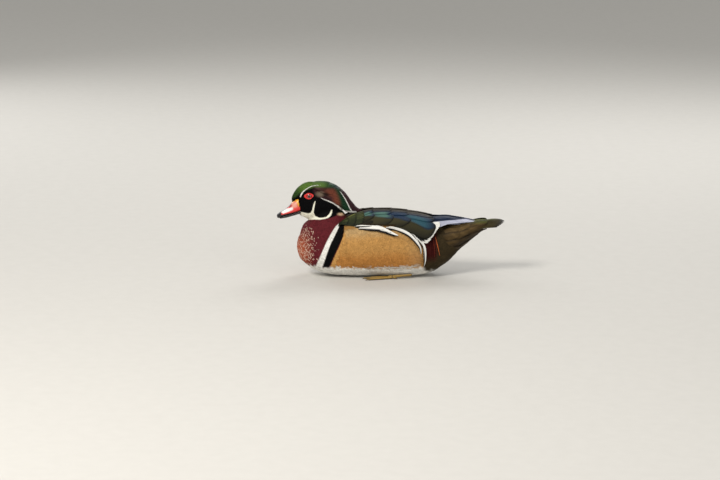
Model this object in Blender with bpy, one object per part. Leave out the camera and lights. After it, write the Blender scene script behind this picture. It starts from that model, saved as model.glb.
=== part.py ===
"""A drake wood duck at rest on its belly, as a still, life-size model.

The bird faces -Y, its left side is +X, and its belly and feet lie on the plane z = 0.
All sizes are in millimetres up to the last step, where MM turns them into metres.
"""

import math

import bmesh
import bpy
from mathutils import Matrix, Vector

MM = 0.001
# Touching pieces keep this much clear of each other
GAP = 0.35

# Driving sizes: how far the tail reaches behind the middle of the bird, and the crown above the floor
TAIL_TIP = 210
CROWN = 176.3

# Feathers: the thickness of a vane, and how far its quill line stands up along the middle
VANE_THICK = 0.7
QUILL_RISE = 0.4

# Stations of each smooth form: y, half width, top, bottom
TORSO_STATIONS = (
    (-172, 0, 56, 56),
    (-168, 19, 77, 34),
    (-160, 29, 87, 24),
    (-148, 37, 93, 14),
    (-125, 47, 97, 4),
    (-106, 52, 103, 0),
    (-88, 55, 111.5, -1),
    (-65, 57.5, 118.5, -2),
    (-30, 59, 121.5, -2),
    (0, 59, 121, -2),
    (40, 55, 116, -2),
    (70, 47, 108, 3),
    (95, 37, 99, 16),
    (118, 26, 90, 36),
    (135, 0, 68, 68),
)
HEAD_STATIONS = (
    (-183, 0, 143, 143),
    (-180, 6.2, 153, 131),
    (-175, 9.2, 161, 123),
    (-168, 13.6, 168, 114),
    (-158, 18.2, 172.8, 106.5),
    (-148, 20.4, 174.6, 103.6),
    (-130, 21.6, 174.4, 102.6),
    (-112, 20.2, 168.5, 105),
    (-98, 16, 157, 112),
    (-86, 0, 138, 138),
)
# The crest hangs from the crown and nape as a hood of long feathers
CREST_STATIONS = (
    (-154, 0, 170, 170),
    (-146, 13, CROWN - 1.5, 160),
    (-130, 20.4, CROWN - 0.9, 147),
    (-112, 21.4, 173, 136),
    (-98, 19, 166.6, 128),
    (-84, 15, 154.6, 119.5),
    (-72, 10.6, 138.5, 115.2),
    (-62, 6.6, 127, 116.2),
    (-50, 3, 120.6, 117),
)
# The neck is a short column, so its stations climb: height, half width, front, back
NECK_STATIONS = (
    (66, 44, -163, -66),
    (84, 41, -164.5, -66),
    (95, 35.5, -160.5, -70),
    (104, 29.5, -151.5, -76),
    (112, 25.5, -146, -82),
    (124, 20, -142, -90),
    (136, 14, -138, -98),
)
BILL_STATIONS = (
    (-210, 0, 111, 111),
    (-208.6, 4.6, 114.4, 107.2),
    (-205.5, 6.9, 116.8, 107.4),
    (-201, 8.4, 119, 110.6),
    (-195, 9.2, 122.6, 112.4),
    (-188, 10, 128.6, 114.6),
    (-181, 11, 137, 116.8),
    (-173, 11.9, 143.4, 119),
    (-166, 12.6, 146.6, 120.8),
    (-158, 12, 144, 122),
)
LOWER_BILL_STATIONS = (
    (-205.6, 0, 107.6, 107.6),
    (-204, 4, 109, 105.6),
    (-200, 6.4, 110.6, 106),
    (-192, 7.8, 112.8, 107.4),
    (-180, 9.2, 116.4, 111),
    (-168, 10.4, 119.8, 114.6),
    (-160, 10, 121, 117),
)
NOSTRIL_Y, NOSTRIL_HEIGHT = -185.5, 128
# The folded wings form one cloak over the back: its stations, and the height of its lower edge
WING_STATIONS = (
    (-100, 47, 108, 20),
    (-85, 57.5, 116, 8),
    (-62, 62, 123, 4),
    (-30, 63.5, 125.5, 3),
    (0, 63.5, 125, 3),
    (40, 60.5, 120.6, 6),
    (70, 53, 114.6, 16),
    (90, 42, 111.8, 50),
    (110, 31, 111, 76),
    (135, 20.5, 109, 80),
    (158, 13.5, 106.2, 84),
)
WING_FRONT = -94
# The rear edge of the tertials and secondaries, from the back to the lowest point
WING_BACK = ((0, 84), (0.35, 90), (0.6, 91), (0.85, 80), (1, 67))
WING_LOWER_EDGE = ((-94, 106), (-60, 101), (-20, 99), (15, 97), (40, 88), (66, 71), (91, 90))
# The core of the wing ends this share of the way back, half way along its last feathers
WING_CORE = 0.86
# Tiers of wing feathers from the shoulder back: roots and tips as shares of the wing's length,
# first and last place down its side, how many, how wide, and how far their tips stand off
WING_TIERS = (
    (0.03, 0.30, 0.14, 0.86, 4, 18, 1.7),
    (0.18, 0.46, 0.12, 0.88, 4, 19, 1.7),
    (0.34, 0.64, 0.14, 0.84, 4, 18, 1.7),
    (0.52, 0.985, 0.12, 0.5, 3, 16, 1.8),
    (0.68, 1.0, 0.56, 0.91, 4, 11, 0.6),
)
# The tertials are the tier with a raised quill line
LONG_TIER = 3
# The folded hand of the wing: where its core ends, its lower edge, and how many feathers show
HAND_CORE_BACK = 122
HAND_LOWER_EDGE = ((60, 88), (91, 93), (115, 98), (158, 102))
HAND_FEATHERS = 6
# Its first and last feather: y of the root and tip, how far each is from the middle of the back, width
HAND_ROOTS = (84, 89)
HAND_TIPS = (114, 156)
HAND_ROOT_SIDES = (19, 17)
HAND_TIP_SIDES = (13, 8)
HAND_WIDTHS = (15, 10)
# The first feather lies this deep, and each that follows a step deeper
HAND_SINK = 1.4
HAND_STEP = 1.15
# The coverts that wrap the root of the tail, above and below
COVERT_STATIONS = (
    (92, 30, 97, 34),
    (110, 31, 97.8, 38),
    (123, 30, 99, 45.5),
    (135, 28, 101, 55.5),
    (147, 25.4, 103.2, 65.6),
    (160, 22.6, 105, 76.5),
    (172, 19, 106, 85),
    (196, 12, 106.4, 92),
)
COVERT_CORE_BACK = 170
# Tiers of tail coverts: y of roots and tips, angles round the left side, width, and stand of the tips
COVERT_TIERS = (
    (101, 140, (-90, -45, 0), 24, 1.8),
    (121, 164, (-68, -24, 14), 20, 1.4),
    (140, 186, (-90, -54), 14, 1),
)
# The fan of tail feathers: y, half width, height of its middle, and how far its sides droop
TAIL_STATIONS = (
    (120, 13, 92.5, 1),
    (150, 18, 98.4, 2),
    (168, 23, 101.6, 3.4),
    (180, 26.5, 103.8, 4.6),
    (192, 28, 105, 5),
    (203, 27, 104.2, 4.6),
    (TAIL_TIP, 26, 101.4, 4),
)
TAIL_CORE = (140, 184)
TAIL_FEATHERS = 13
TAIL_PIVOT = 100
TAIL_SPREAD = 15
TAIL_STEP = 1.35
# The side pocket, and the long barred plumes that end it above and behind
FLANK_TOP = ((-92, 98), (-60, 102), (5, 101), (36, 91), (58, 72), (72, 54))
FLANK_LOW = ((-92, 42), (-40, 22), (30, 20), (72, 34))
FLANK_FRONT = ((0, -82), (0.35, -92), (0.7, -90), (1, -70))
FLANK_BACK = ((0, 34), (0.3, 52), (0.65, 60), (1, 46))
# How far the pocket stands off the torso: all over, along its top over the wing, and in its middle
FLANK_LIFTS = (1.2, 4.4, 3.6)
# Its first and last plume: y and height of the root and tip, width, and how far it stands off
FLANK_PLUMES = 8
PLUME_ROOTS = ((-58, 99), (30, 66))
PLUME_TIPS = ((-4, 96), (68, 46))
PLUME_WIDTHS = (13, 16)
PLUME_STANDS = (9.2, 4.2)
# The thin plumes over the side of the rump: how many, width, y and height of the first one's root and
# tip, and the steps from one plume to the next
RUMP_PLUMES = 3
RUMP_WIDTH = 4.6
RUMP_ROOT, RUMP_ROOT_STEP = (80, 78), (1, -3)
RUMP_TIP, RUMP_TIP_STEP = (84, 44), (6, 1)
# The crest's tiers: y of roots and tips, angles of the outermost feathers, how many, and how wide
CREST_CORE_BACK = -88
CREST_TIERS = (
    (-142, -104, 28, 5, 12),
    (-124, -80, 12, 6, 11),
    (-102, -55, 0, 5, 9),
)

EYE = Vector((15.0, -150.0, 150.4))
EYE_RADIUS = 6.2

HEEL = Vector((37, 36, 7.5))
TOE_ROOT = Vector((41, 2, 4.2))
# Toes: name, degrees that each turns out from straight ahead, length
TOES = (("inner", -15, 35), ("middle", 3, 47), ("outer", 19, 44))

# Finishes: colour, roughness
CHESTNUT = ((0.2, 0.035, 0.03), 0.6)
HEAD_GREEN = ((0.035, 0.12, 0.04), 0.35)
CREST_GREEN = ((0.03, 0.07, 0.06), 0.35)
BILL_RED = ((0.72, 0.07, 0.05), 0.35)
BILL_BLACK = ((0.02, 0.02, 0.02), 0.35)
EYE_RED = ((0.5, 0.02, 0.015), 0.05)
FLANK_TAN = ((0.5, 0.3, 0.11), 0.7)
WING_BRONZE = ((0.04, 0.06, 0.05), 0.4)
HAND_BLUE = ((0.03, 0.05, 0.12), 0.4)
TAIL_OLIVE = ((0.06, 0.055, 0.03), 0.5)
PLUME_ORANGE = ((0.45, 0.14, 0.03), 0.6)
LEG_YELLOW = ((0.5, 0.34, 0.08), 0.5)


def rises_between(xs, ys):
    """The slope from each point to the next."""
    return [(ys[i + 1] - ys[i]) / (xs[i + 1] - xs[i]) for i in range(len(xs) - 1)]


def curve_through(xs, ys):
    """A smooth curve through the points that never swings past them."""
    rises = rises_between(xs, ys)
    slopes = [rises[0]]
    for before, after in zip(rises, rises[1:]):
        meet = before * after > 0
        slopes.append(2 * before * after / (before + after) if meet else 0.0)
    slopes.append(rises[-1])

    def at(x):
        x = min(max(x, xs[0]), xs[-1])
        i = 0
        while i < len(xs) - 2 and x > xs[i + 1]:
            i += 1
        step = xs[i + 1] - xs[i]
        t = (x - xs[i]) / step
        blend = t * t * (3 - 2 * t)
        bend = t * (1 - t) * ((1 - t) * slopes[i] - t * slopes[i + 1]) * step
        return ys[i] + (ys[i + 1] - ys[i]) * blend + bend

    return at


def table_curve(pairs):
    """A smooth curve through pairs of numbers."""
    return curve_through(*zip(*pairs))


def between(first, last, share):
    return first + (last - first) * share


def signed_power(value, power):
    return math.copysign(abs(value) ** power, value)


class Form:
    """A smooth body of sections across Y, each an egg-like superellipse."""

    def __init__(self, stations, waist=0.5, upper=2.0, lower=2.0):
        ys, widths, tops, bottoms = zip(*stations)
        heights = [top - bottom for top, bottom in zip(tops, bottoms)]
        middles = [(top + bottom) / 2 for top, bottom in zip(tops, bottoms)]
        # Squares run straight at a round end, so that it comes out round
        self.width_squared = curve_through(ys, [w * w for w in widths])
        self.height_squared = curve_through(ys, [h * h for h in heights])
        self.middle = curve_through(ys, middles)
        self.first, self.last = ys[0], ys[-1]
        self.waist, self.upper, self.lower = waist, upper, lower

    def section(self, y):
        """Half width, height of the widest line, and the reach above and below it."""
        width = math.sqrt(max(self.width_squared(y), 0))
        height = math.sqrt(max(self.height_squared(y), 0))
        bottom = self.middle(y) - height / 2
        below = height * self.waist
        return width, bottom + below, height - below, below

    def at(self, y, angle, lift=0.0):
        """The point at an angle from the left side, 90 degrees being the top, lifted off the surface."""
        width, widest, above, below = self.section(y)
        c, s = math.cos(angle), math.sin(angle)
        reach = above if s >= 0 else below
        power = self.upper if s >= 0 else self.lower
        x = width * signed_power(c, 2 / power)
        z = widest + reach * signed_power(s, 2 / power)
        out = self.outward(c, s, width, reach, power)
        return Vector((x, y, z)) + out * lift

    def outward(self, c, s, width, reach, power):
        share = 2 - 2 / power
        across = signed_power(c, share) * max(reach, 0.01)
        up = signed_power(s, share) * max(width, 0.01)
        return Vector((across, 0, up)).normalized()

    def arc(self, y, angle):
        """How far one radian reaches round the section at an angle."""
        step = 0.06
        return (self.at(y, angle + step) - self.at(y, angle - step)).length / (2 * step)

    def angle_at_height(self, y, z):
        """The angle on the left side where the section passes a height."""
        width, widest, above, below = self.section(y)
        over = z >= widest
        share = (z - widest) / (above if over else below)
        share = min(max(share, -1), 1)
        power = self.upper if over else self.lower
        up = signed_power(share, power / 2)
        return math.asin(min(max(up, -1), 1))

    def angle_at_side(self, y, x):
        """The angle on the upper left where the section passes a distance from the middle."""
        width = self.section(y)[0]
        share = min(max(x / max(width, 0.01), 0), 1)
        return math.acos(share ** (self.upper / 2))


TORSO = Form(TORSO_STATIONS, waist=0.47, upper=2.15, lower=2.5)
HEAD = Form(HEAD_STATIONS, waist=0.42, upper=2.1, lower=2.15)
BILL = Form(BILL_STATIONS, waist=0.3, upper=2.5, lower=3.0)
LOWER_BILL = Form(LOWER_BILL_STATIONS, waist=0.7, upper=3.0, lower=2.4)
WINGS = Form(WING_STATIONS, waist=0.47, upper=2.15, lower=2.5)
CREST = Form(CREST_STATIONS, waist=0.35, upper=2.1, lower=2.6)
COVERTS = Form(COVERT_STATIONS, waist=0.6, upper=2.2, lower=1.8)


def mesh_object(name, points, faces):
    mesh = bpy.data.meshes.new(name)
    mesh.from_pydata([Vector(p) * MM for p in points], [], faces)
    return placed(name, mesh)


def placed(name, mesh):
    made = bpy.data.objects.new(name, mesh)
    bpy.context.scene.collection.objects.link(made)
    return made


def loft(name, rings):
    """A closed skin over rings of equal count, with a flat cap at each end."""
    count = len(rings[0])
    points = [p for ring in rings for p in ring]
    faces = []
    for r in range(len(rings) - 1):
        for k in range(count):
            a, b = r * count + k, r * count + (k + 1) % count
            faces.append((a, b, b + count, a + count))
    for ring, start, turn in ((rings[0], 0, -1), (rings[-1], len(points) - count, 1)):
        centre = sum((Vector(p) for p in ring), Vector()) / count
        points.append(centre)
        for k in range(count):
            edge = (start + k, start + (k + 1) % count)[::turn]
            faces.append((*edge, len(points) - 1))
    made = mesh_object(name, points, faces)
    face_out(made)
    return made


def face_out(obj):
    """Turns every face of a closed mesh outwards, and merges the points of a pole."""
    bm = bmesh.new()
    bm.from_mesh(obj.data)
    bmesh.ops.remove_doubles(bm, verts=bm.verts, dist=0.00001)
    bmesh.ops.recalc_face_normals(bm, faces=bm.faces)
    if bm.calc_volume(signed=True) < 0:
        bmesh.ops.reverse_faces(bm, faces=bm.faces)
    bm.to_mesh(obj.data)
    bm.free()


def spaced(first, last, count):
    """Values from first to last, closer together at both ends."""
    turns = [math.pi * k / (count - 1) for k in range(count)]
    return [first + (last - first) * (1 - math.cos(t)) / 2 for t in turns]


def form_loft(name, form, rings, sides, last=None, sink=0.0, rounded=0.0):
    """A form as a solid, up to y = last, sunk by some depth and drawn in at its rear end."""
    end = form.last if last is None else last
    sections = []
    for y in spaced(form.first, end, rings):
        y = min(max(y, form.first + 0.05), end - 0.05)
        share = (y - form.first) / (end - form.first)
        lift = -sink - rounded * share**6
        ring = [form.at(y, 2 * math.pi * (k + 0.5) / sides, lift) for k in range(sides)]
        sections.append(ring)
    return loft(name, sections)


def swollen(obj):
    """A copy of a solid grown by the gap on every side, to cut its neighbours clear of it."""
    bm = bmesh.new()
    bm.from_mesh(obj.data)
    bm.normal_update()
    moves = []
    for vertex in bm.verts:
        out = vertex.normal
        lean = min((out.dot(face.normal) for face in vertex.link_faces), default=1)
        moves.append(out * GAP * MM / max(lean, 0.4))
    for vertex, move in zip(bm.verts, moves):
        vertex.co += move
    mesh = bpy.data.meshes.new(obj.name + "_cutter")
    bm.to_mesh(mesh)
    bm.free()
    return placed(mesh.name, mesh)


def islands(bm):
    """The faces of each closed surface in a mesh, where bodies that only share an edge are apart."""
    left, found = set(bm.faces), []
    while left:
        seed = left.pop()
        group, rim = {seed}, [seed]
        while rim:
            face = rim.pop()
            sides = [edge for edge in face.edges if len(edge.link_faces) == 2]
            for other in {f for edge in sides for f in edge.link_faces} & left:
                left.discard(other)
                group.add(other)
                rim.append(other)
        found.append(group)
    return found


def volume_of(faces):
    total = 0.0
    for face in faces:
        first = face.verts[0].co
        for a, b in zip(face.verts[1:], face.verts[2:]):
            total += first.dot(a.co.cross(b.co)) / 6
    return total


def keep_largest(obj):
    """Keeps only the largest closed surface of a mesh."""
    bm = bmesh.new()
    bm.from_mesh(obj.data)
    groups = sorted(islands(bm), key=volume_of)
    extra = [face for group in groups[:-1] for face in group]
    bmesh.ops.delete(bm, geom=extra, context="FACES")
    bm.to_mesh(obj.data)
    bm.free()


def boolean(obj, others, operation):
    """Joins or cuts an object with several others in one step, and removes those."""
    group = bpy.data.collections.new("cutters")
    bpy.context.scene.collection.children.link(group)
    for other in others:
        bpy.context.scene.collection.objects.unlink(other)
        group.objects.link(other)
    step = obj.modifiers.new(operation.lower(), "BOOLEAN")
    step.operation, step.solver = operation, "MANIFOLD"
    step.operand_type, step.collection = "COLLECTION", group
    graph = bpy.context.evaluated_depsgraph_get()
    mesh = bpy.data.meshes.new_from_object(obj.evaluated_get(graph))
    obj.modifiers.remove(step)
    obj.data = mesh
    for other in others:
        bpy.data.objects.remove(other)
    bpy.data.collections.remove(group)


def fuse(obj, pieces):
    """Joins pieces to an object, and drops whatever doesn't hang on it."""
    boolean(obj, pieces, "UNION")
    keep_largest(obj)


def clear_of(obj, neighbours):
    """Cuts an object back so that it only meets its neighbours face to face."""
    boolean(obj, [swollen(n) for n in neighbours], "DIFFERENCE")
    keep_largest(obj)


def mirrored(obj, name):
    """The same solid on the bird's right side."""
    mesh = obj.data.copy()
    for vertex in mesh.vertices:
        vertex.co.x = -vertex.co.x
    mesh.flip_normals()
    return placed(name, mesh)


def slab(name, outer, inner, rows, columns):
    """A closed plate between two surfaces, each given as a point for u and v from 0 to 1."""
    places = [(i / (rows - 1), j / (columns - 1)) for i in range(rows) for j in range(columns)]
    points = [outer(u, v) for u, v in places] + [inner(u, v) for u, v in places]
    shift = rows * columns
    faces = []
    for i in range(rows - 1):
        for j in range(columns - 1):
            a = i * columns + j
            for corner in ((a, a + 1, a + columns + 1), (a, a + columns + 1, a + columns)):
                faces.append(corner)
                faces.append(tuple(k + shift for k in corner[::-1]))
    border = list(range(columns))
    border += [i * columns + columns - 1 for i in range(1, rows)]
    border += [(rows - 1) * columns + j for j in range(columns - 2, -1, -1)]
    border += [i * columns for i in range(rows - 2, 0, -1)]
    for a, b in zip(border, border[1:] + border[:1]):
        faces.append((a, b, b + shift, a + shift))
    made = mesh_object(name, points, faces)
    face_out(made)
    return made


def patch(name, form, spans, lifts, rows, columns, depth):
    """A slab over part of a form: spans gives its y and angles, lifts its outer face."""

    def outer(u, v):
        return form.at(*spans(u, v), lifts(u, v))

    def inner(u, v):
        return form.at(*spans(u, v), -depth)

    return slab(name, outer, inner, rows, columns)


def bump(t):
    """0 at both ends of 0 to 1, and 1 over most of the middle."""
    return 1 - abs(2 * t - 1) ** 3


def vane_width(along, root):
    """A feather's width along it, as a share: narrow at the root, rounded at the tip."""
    opening = between(root, 1, min(1, 2.4 * along))
    return opening * max(0.16, math.sqrt(1 - along**4))


def vane(place, width, sink=2.0, rise=1.4, tilt=1.3, rows=4, columns=2, root=0.5):
    """A feather: a thin plate, its root sunk and its tip lifted. With 3 columns its quill line stands up.

    place gives the point for a share of its length, a distance across it and a lift. The side
    that lies over the next feather is raised by half of tilt, and the other side is lowered.
    """

    def sheet(side):
        def at(u, v):
            along = 1 - (1 - u) ** 1.5
            share = vane_width(along, root)
            lift = rise * along - sink * (1 - along) ** 4 + tilt * share * (v - 0.5)
            lift += QUILL_RISE * (1 - abs(2 * v - 1))
            return place(along, (v - 0.5) * width * share, lift + side * VANE_THICK / 2)

        return at

    return slab("vane", sheet(1), sheet(-1), rows, columns)


def lie_on(form, root, tip, turn=1):
    """The place of a feather that lies on a form from one y and angle to another."""

    def place(along, across, lift):
        y = between(root[0], tip[0], along)
        angle = between(root[1], tip[1], along)
        return form.at(y, angle + turn * across / form.arc(y, angle), lift)

    return place


def make_torso():
    torso = form_loft("torso", TORSO, 24, 26)
    stand_on_floor(torso)
    return torso


def make_head():
    return form_loft("head", HEAD, 17, 20)


def make_neck():
    heights, widths, fronts, backs = zip(*NECK_STATIONS)
    width = curve_through(heights, widths)
    front = curve_through(heights, fronts)
    back = curve_through(heights, backs)
    rings = []
    levels, sides = 9, 20
    for k in range(levels):
        z = between(heights[0], heights[-1], k / (levels - 1))
        middle, reach = (front(z) + back(z)) / 2, (back(z) - front(z)) / 2
        turns = [2 * math.pi * (i + 0.5) / sides for i in range(sides)]
        rings.append([(width(z) * math.cos(t), middle + reach * math.sin(t), z) for t in turns])
    return loft("neck", rings)


def make_ball(name, centre, radii, across, up):
    bm = bmesh.new()
    bmesh.ops.create_uvsphere(bm, u_segments=across, v_segments=up, radius=MM)
    mesh = bpy.data.meshes.new(name)
    bm.to_mesh(mesh)
    bm.free()
    mesh.transform(Matrix.Translation(centre * MM) @ Matrix.Diagonal((*radii, 1)))
    return placed(name, mesh)


def make_eye():
    return make_ball("eye_left", EYE, (EYE_RADIUS, EYE_RADIUS, EYE_RADIUS), 14, 8)


def make_lid():
    """The fleshy ring round the eye, drawn to a point in front and behind."""
    around, sides = 16, 5
    points = []
    for j in range(around):
        t = 2 * math.pi * j / around
        point = abs(math.cos(t)) ** 6
        out = Vector((0, math.cos(t) * (6.9 + 1.1 * point), math.sin(t) * 5.1))
        middle = EYE + out + Vector((3.9 - 0.9 * abs(math.cos(t)), 0, 0))
        thick = 1.25 - 0.35 * point
        for k in range(sides):
            turn = 2 * math.pi * k / sides
            bulge = Vector((1.5 * math.sin(turn), 0, 0))
            points.append(middle + out.normalized() * thick * math.cos(turn) + bulge)
    faces = []
    for j in range(around):
        row, following = j * sides, (j + 1) % around * sides
        for k in range(sides):
            after = (k + 1) % sides
            faces.append((row + k, row + after, following + after, following + k))
    made = mesh_object("lid", points, faces)
    face_out(made)
    return made


def make_upper_bill():
    """The upper half of the bill, with a nostril sunk in each side of its ridge."""
    bill = form_loft("bill_upper", BILL, 16, 18)
    side = BILL.at(NOSTRIL_Y, BILL.angle_at_height(NOSTRIL_Y, NOSTRIL_HEIGHT))
    nostril = make_ball("nostril", side, (1.1, 2.8, 1.2), 10, 6)
    boolean(bill, [nostril, mirrored(nostril, "nostril_right")], "DIFFERENCE")
    return bill


def make_lower_bill():
    return form_loft("bill_lower", LOWER_BILL, 12, 16)


def make_crest():
    """The crest feather by feather, on a core that reaches half way to their tips."""
    crest = form_loft("crest", CREST, 10, 14, CREST_CORE_BACK, 2.6, 5)
    feathers = []
    for tier, (root, tip, lowest, count, width) in enumerate(CREST_TIERS):
        for k in range(count):
            share = 2 * k / (count - 1) - 1
            angle = math.radians(90 - share * (90 - lowest))
            tip_angle = math.radians(90 - share * (75 - lowest))
            reach = tip - 7 * abs(share)
            turn = -1 if share >= 0 else 1
            place = lie_on(CREST, (root, angle), (reach, tip_angle), turn)
            feathers.append(vane(place, width, 4.2, 1.6 - 0.5 * tier, 1.2))
    fuse(crest, feathers)
    return crest


def wing_spans(u, v):
    """The folded wing's own grid: u runs to its rear edge, v from the back down its side."""
    y = between(WING_FRONT, table_curve(WING_BACK)(v), u)
    top = WINGS.angle_at_side(y, 10)
    low = WINGS.angle_at_height(y, table_curve(WING_LOWER_EDGE)(y))
    return y, between(top, low, v)


def wing_place(root, tip, v):
    """The place of a wing feather that runs back along one line of the wing's grid."""

    def place(along, across, lift):
        y, angle = wing_spans(between(root, tip, along), v)
        return WINGS.at(y, angle - across / WINGS.arc(y, angle), lift)

    return place


def make_wing_core():
    def spans(u, v):
        return wing_spans(u * WING_CORE, v)

    def lifts(u, v):
        return -2.8 + 1.3 * bump(u) * bump(v)

    return patch("wing_left", WINGS, spans, lifts, 8, 5, 8)


def wing_cover(name):
    """A plain solid round the whole wing with its feathers, to cut its neighbours clear of it."""

    def spans(u, v):
        return wing_spans(1.03 * u, 1.16 * v - 0.04)

    return patch(name, WINGS, spans, lambda u, v: 3.9, 9, 8, 9)


def wing_feathers():
    """Tiers from the shoulder to the white rear edge of the secondaries."""
    feathers = []
    for tier, (root, tip, first, last, count, width, rise) in enumerate(WING_TIERS):
        for k in range(count):
            v = between(first, last, k / (count - 1))
            columns = 3 if tier == LONG_TIER else 2
            feathers.append(vane(wing_place(root, tip, v), width, 3.6, rise, 1.4, 4, columns))
    return feathers


def hand_spans(u, v):
    """The grid of the folded hand of the wing: u from under the tertials back to HAND_CORE_BACK."""
    start = between(WING_FRONT, table_curve(WING_BACK)(v), WING_CORE) - 4
    y = between(start, HAND_CORE_BACK, u)
    top = WINGS.angle_at_side(y, 7)
    low = WINGS.angle_at_height(y, table_curve(HAND_LOWER_EDGE)(y))
    return y, between(top, low, v)


def make_hand():
    """The folded hand of the wing: long feathers stacked so that each lower one reaches further back."""
    hand = patch("primaries_left", WINGS, hand_spans, lambda u, v: -2.6 - 2.6 * v, 5, 4, 8.5)
    feathers = []
    for k in range(HAND_FEATHERS):
        share = k / (HAND_FEATHERS - 1)
        root, tip = between(*HAND_ROOTS, share), between(*HAND_TIPS, share)
        start = WINGS.angle_at_side(root, between(*HAND_ROOT_SIDES, share))
        end = WINGS.angle_at_side(tip, between(*HAND_TIP_SIDES, share))
        place = raised(lie_on(WINGS, (root, start), (tip, end), -1), -HAND_SINK - HAND_STEP * k)
        feathers.append(vane(place, between(*HAND_WIDTHS, share), 2.4, 0.6, 0))
    fuse(hand, feathers)
    return hand


def raised(place, by):
    return lambda along, across, lift: place(along, across, lift + by)


def hand_cover(name):
    """A plain solid round the hand's feathers, to cut the coverts clear of them."""

    def spans(u, v):
        y, low = hand_spans(between(0.1, 1.6, u), 1)
        return y, between(math.radians(97), low - 0.14, v)

    return patch(name, WINGS, spans, lambda u, v: 1.4, 8, 6, 10)


def make_coverts_core():
    return form_loft("tail_coverts", COVERTS, 8, 16, COVERT_CORE_BACK, 3, 2)


def make_coverts():
    """The coverts above and below the root of the tail, on a core inside them."""
    coverts = make_coverts_core()
    feathers = []
    for root, tip, angles, width, rise in COVERT_TIERS:
        sides = [(angle, 1) for angle in angles]
        sides += [(180 - angle, -1) for angle in angles if abs(angle) < 90]
        for angle, turn in sides:
            at = math.radians(angle)
            place = lie_on(COVERTS, (root, at), (tip, at), turn)
            feathers.append(vane(place, width, 5, rise, 1.2))
    fuse(coverts, feathers)
    return coverts


class Fan:
    """The arched surface that the tail feathers lie on."""

    def __init__(self, stations):
        ys, widths, heights, droops = zip(*stations)
        self.width = curve_through(ys, widths)
        self.height = curve_through(ys, heights)
        self.droop = curve_through(ys, droops)

    def at(self, x, y, lift):
        share = x / self.width(y)
        return Vector((x, y, self.height(y) - self.droop(y) * share * share + lift))


TAIL = Fan(TAIL_STATIONS)


def tail_place(turn, tip, drop):
    """The place of a tail feather that runs out from the pivot at an angle."""
    c, s = math.cos(turn), math.sin(turn)

    def place(along, across, lift):
        reach = between(TAIL_CORE[1] - TAIL_PIVOT - 7, tip, along)
        return TAIL.at(reach * s + across * c, TAIL_PIVOT + reach * c - across * s, lift - drop)

    return place


def make_tail():
    """The fan, each feather a little lower than its neighbour nearer the middle."""
    middle = (TAIL_FEATHERS - 1) / 2

    def lowered(u, v, by):
        y = between(*TAIL_CORE, u)
        side = 2 * v - 1
        x = side * (y - TAIL_PIVOT) * math.tan(math.radians(TAIL_SPREAD))
        return TAIL.at(x, y, -TAIL_STEP * middle * abs(side) - by)

    tail = slab("tail", lambda u, v: lowered(u, v, -0.9), lambda u, v: lowered(u, v, 1.6), 3, 7)
    feathers = []
    for k in range(TAIL_FEATHERS):
        rank = k - middle
        turn = math.radians(TAIL_SPREAD * rank / middle)
        tip = TAIL_TIP - TAIL_PIVOT - 0.28 * rank * rank
        place = tail_place(turn, tip, TAIL_STEP * abs(rank))
        feathers.append(vane(place, 9.6, 0, 0, 0, 4, 2, 0.85))
    fuse(tail, feathers)
    return tail


def make_flank():
    """The side pocket that the folded wing is tucked into, with its long plumes above and behind."""

    def spans(u, v):
        y = between(table_curve(FLANK_FRONT)(v), table_curve(FLANK_BACK)(v), u)
        top = TORSO.angle_at_height(y, table_curve(FLANK_TOP)(y))
        low = TORSO.angle_at_height(y, table_curve(FLANK_LOW)(y))
        return y, between(top, low, v)

    def lifts(u, v):
        low, over_wing, middle = FLANK_LIFTS
        return low + over_wing * max(0.0, 1 - v / 0.35) + middle * bump(u) * bump(0.5 + v / 2)

    flank = patch("flank_left", TORSO, spans, lifts, 9, 7, 4)
    plumes = []
    for k in range(FLANK_PLUMES):
        share = k / (FLANK_PLUMES - 1)
        ends = []
        for (first_y, first_z), (last_y, last_z) in (PLUME_ROOTS, PLUME_TIPS):
            y, z = between(first_y, last_y, share), between(first_z, last_z, share**1.4)
            ends.append((y, TORSO.angle_at_height(y, z)))
        place = raised(lie_on(TORSO, *ends, -1), between(*PLUME_STANDS, share))
        plumes.append(vane(place, between(*PLUME_WIDTHS, share), 5.5, 0.6, 1.4))
    return flank, plumes


def rod(name, points, radii):
    """A tapering round rod along a few points, as a curve made into a closed mesh."""
    data = bpy.data.curves.new(name, "CURVE")
    data.dimensions = "3D"
    data.bevel_depth = MM
    data.bevel_resolution = 2
    data.use_fill_caps = True
    line = data.splines.new("POLY")
    line.points.add(len(points) - 1)
    for place, point, radius in zip(line.points, points, radii):
        place.co = (*(Vector(point) * MM), 1)
        place.radius = radius
    curve = bpy.data.objects.new(name + "_curve", data)
    bpy.context.scene.collection.objects.link(curve)
    graph = bpy.context.evaluated_depsgraph_get()
    mesh = bpy.data.meshes.new_from_object(curve.evaluated_get(graph))
    bpy.data.objects.remove(curve)
    made = placed(name, mesh)
    face_out(made)
    return made


def stand_on_floor(obj):
    """Presses flat whatever would reach below the floor."""
    for vertex in obj.data.vertices:
        vertex.co.z = max(vertex.co.z, 0)


def make_leg():
    """The bare tarsus lying along the floor, and the feathered shin that goes up into the body."""
    line = [TOE_ROOT + Vector((0, 1.5, 0)), TOE_ROOT.lerp(HEEL, 0.5), HEEL, HEEL + Vector((-1, 2.5, 2))]
    leg = rod("leg_left", line, [2.9, 2.3, 3.3, 2.6])
    shin = rod("shin", [HEEL, HEEL + Vector((-3, -8, 8)), HEEL + Vector((-8, -26, 22))], [2.8, 5.5, 9])
    fuse(leg, [shin])
    return leg


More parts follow.
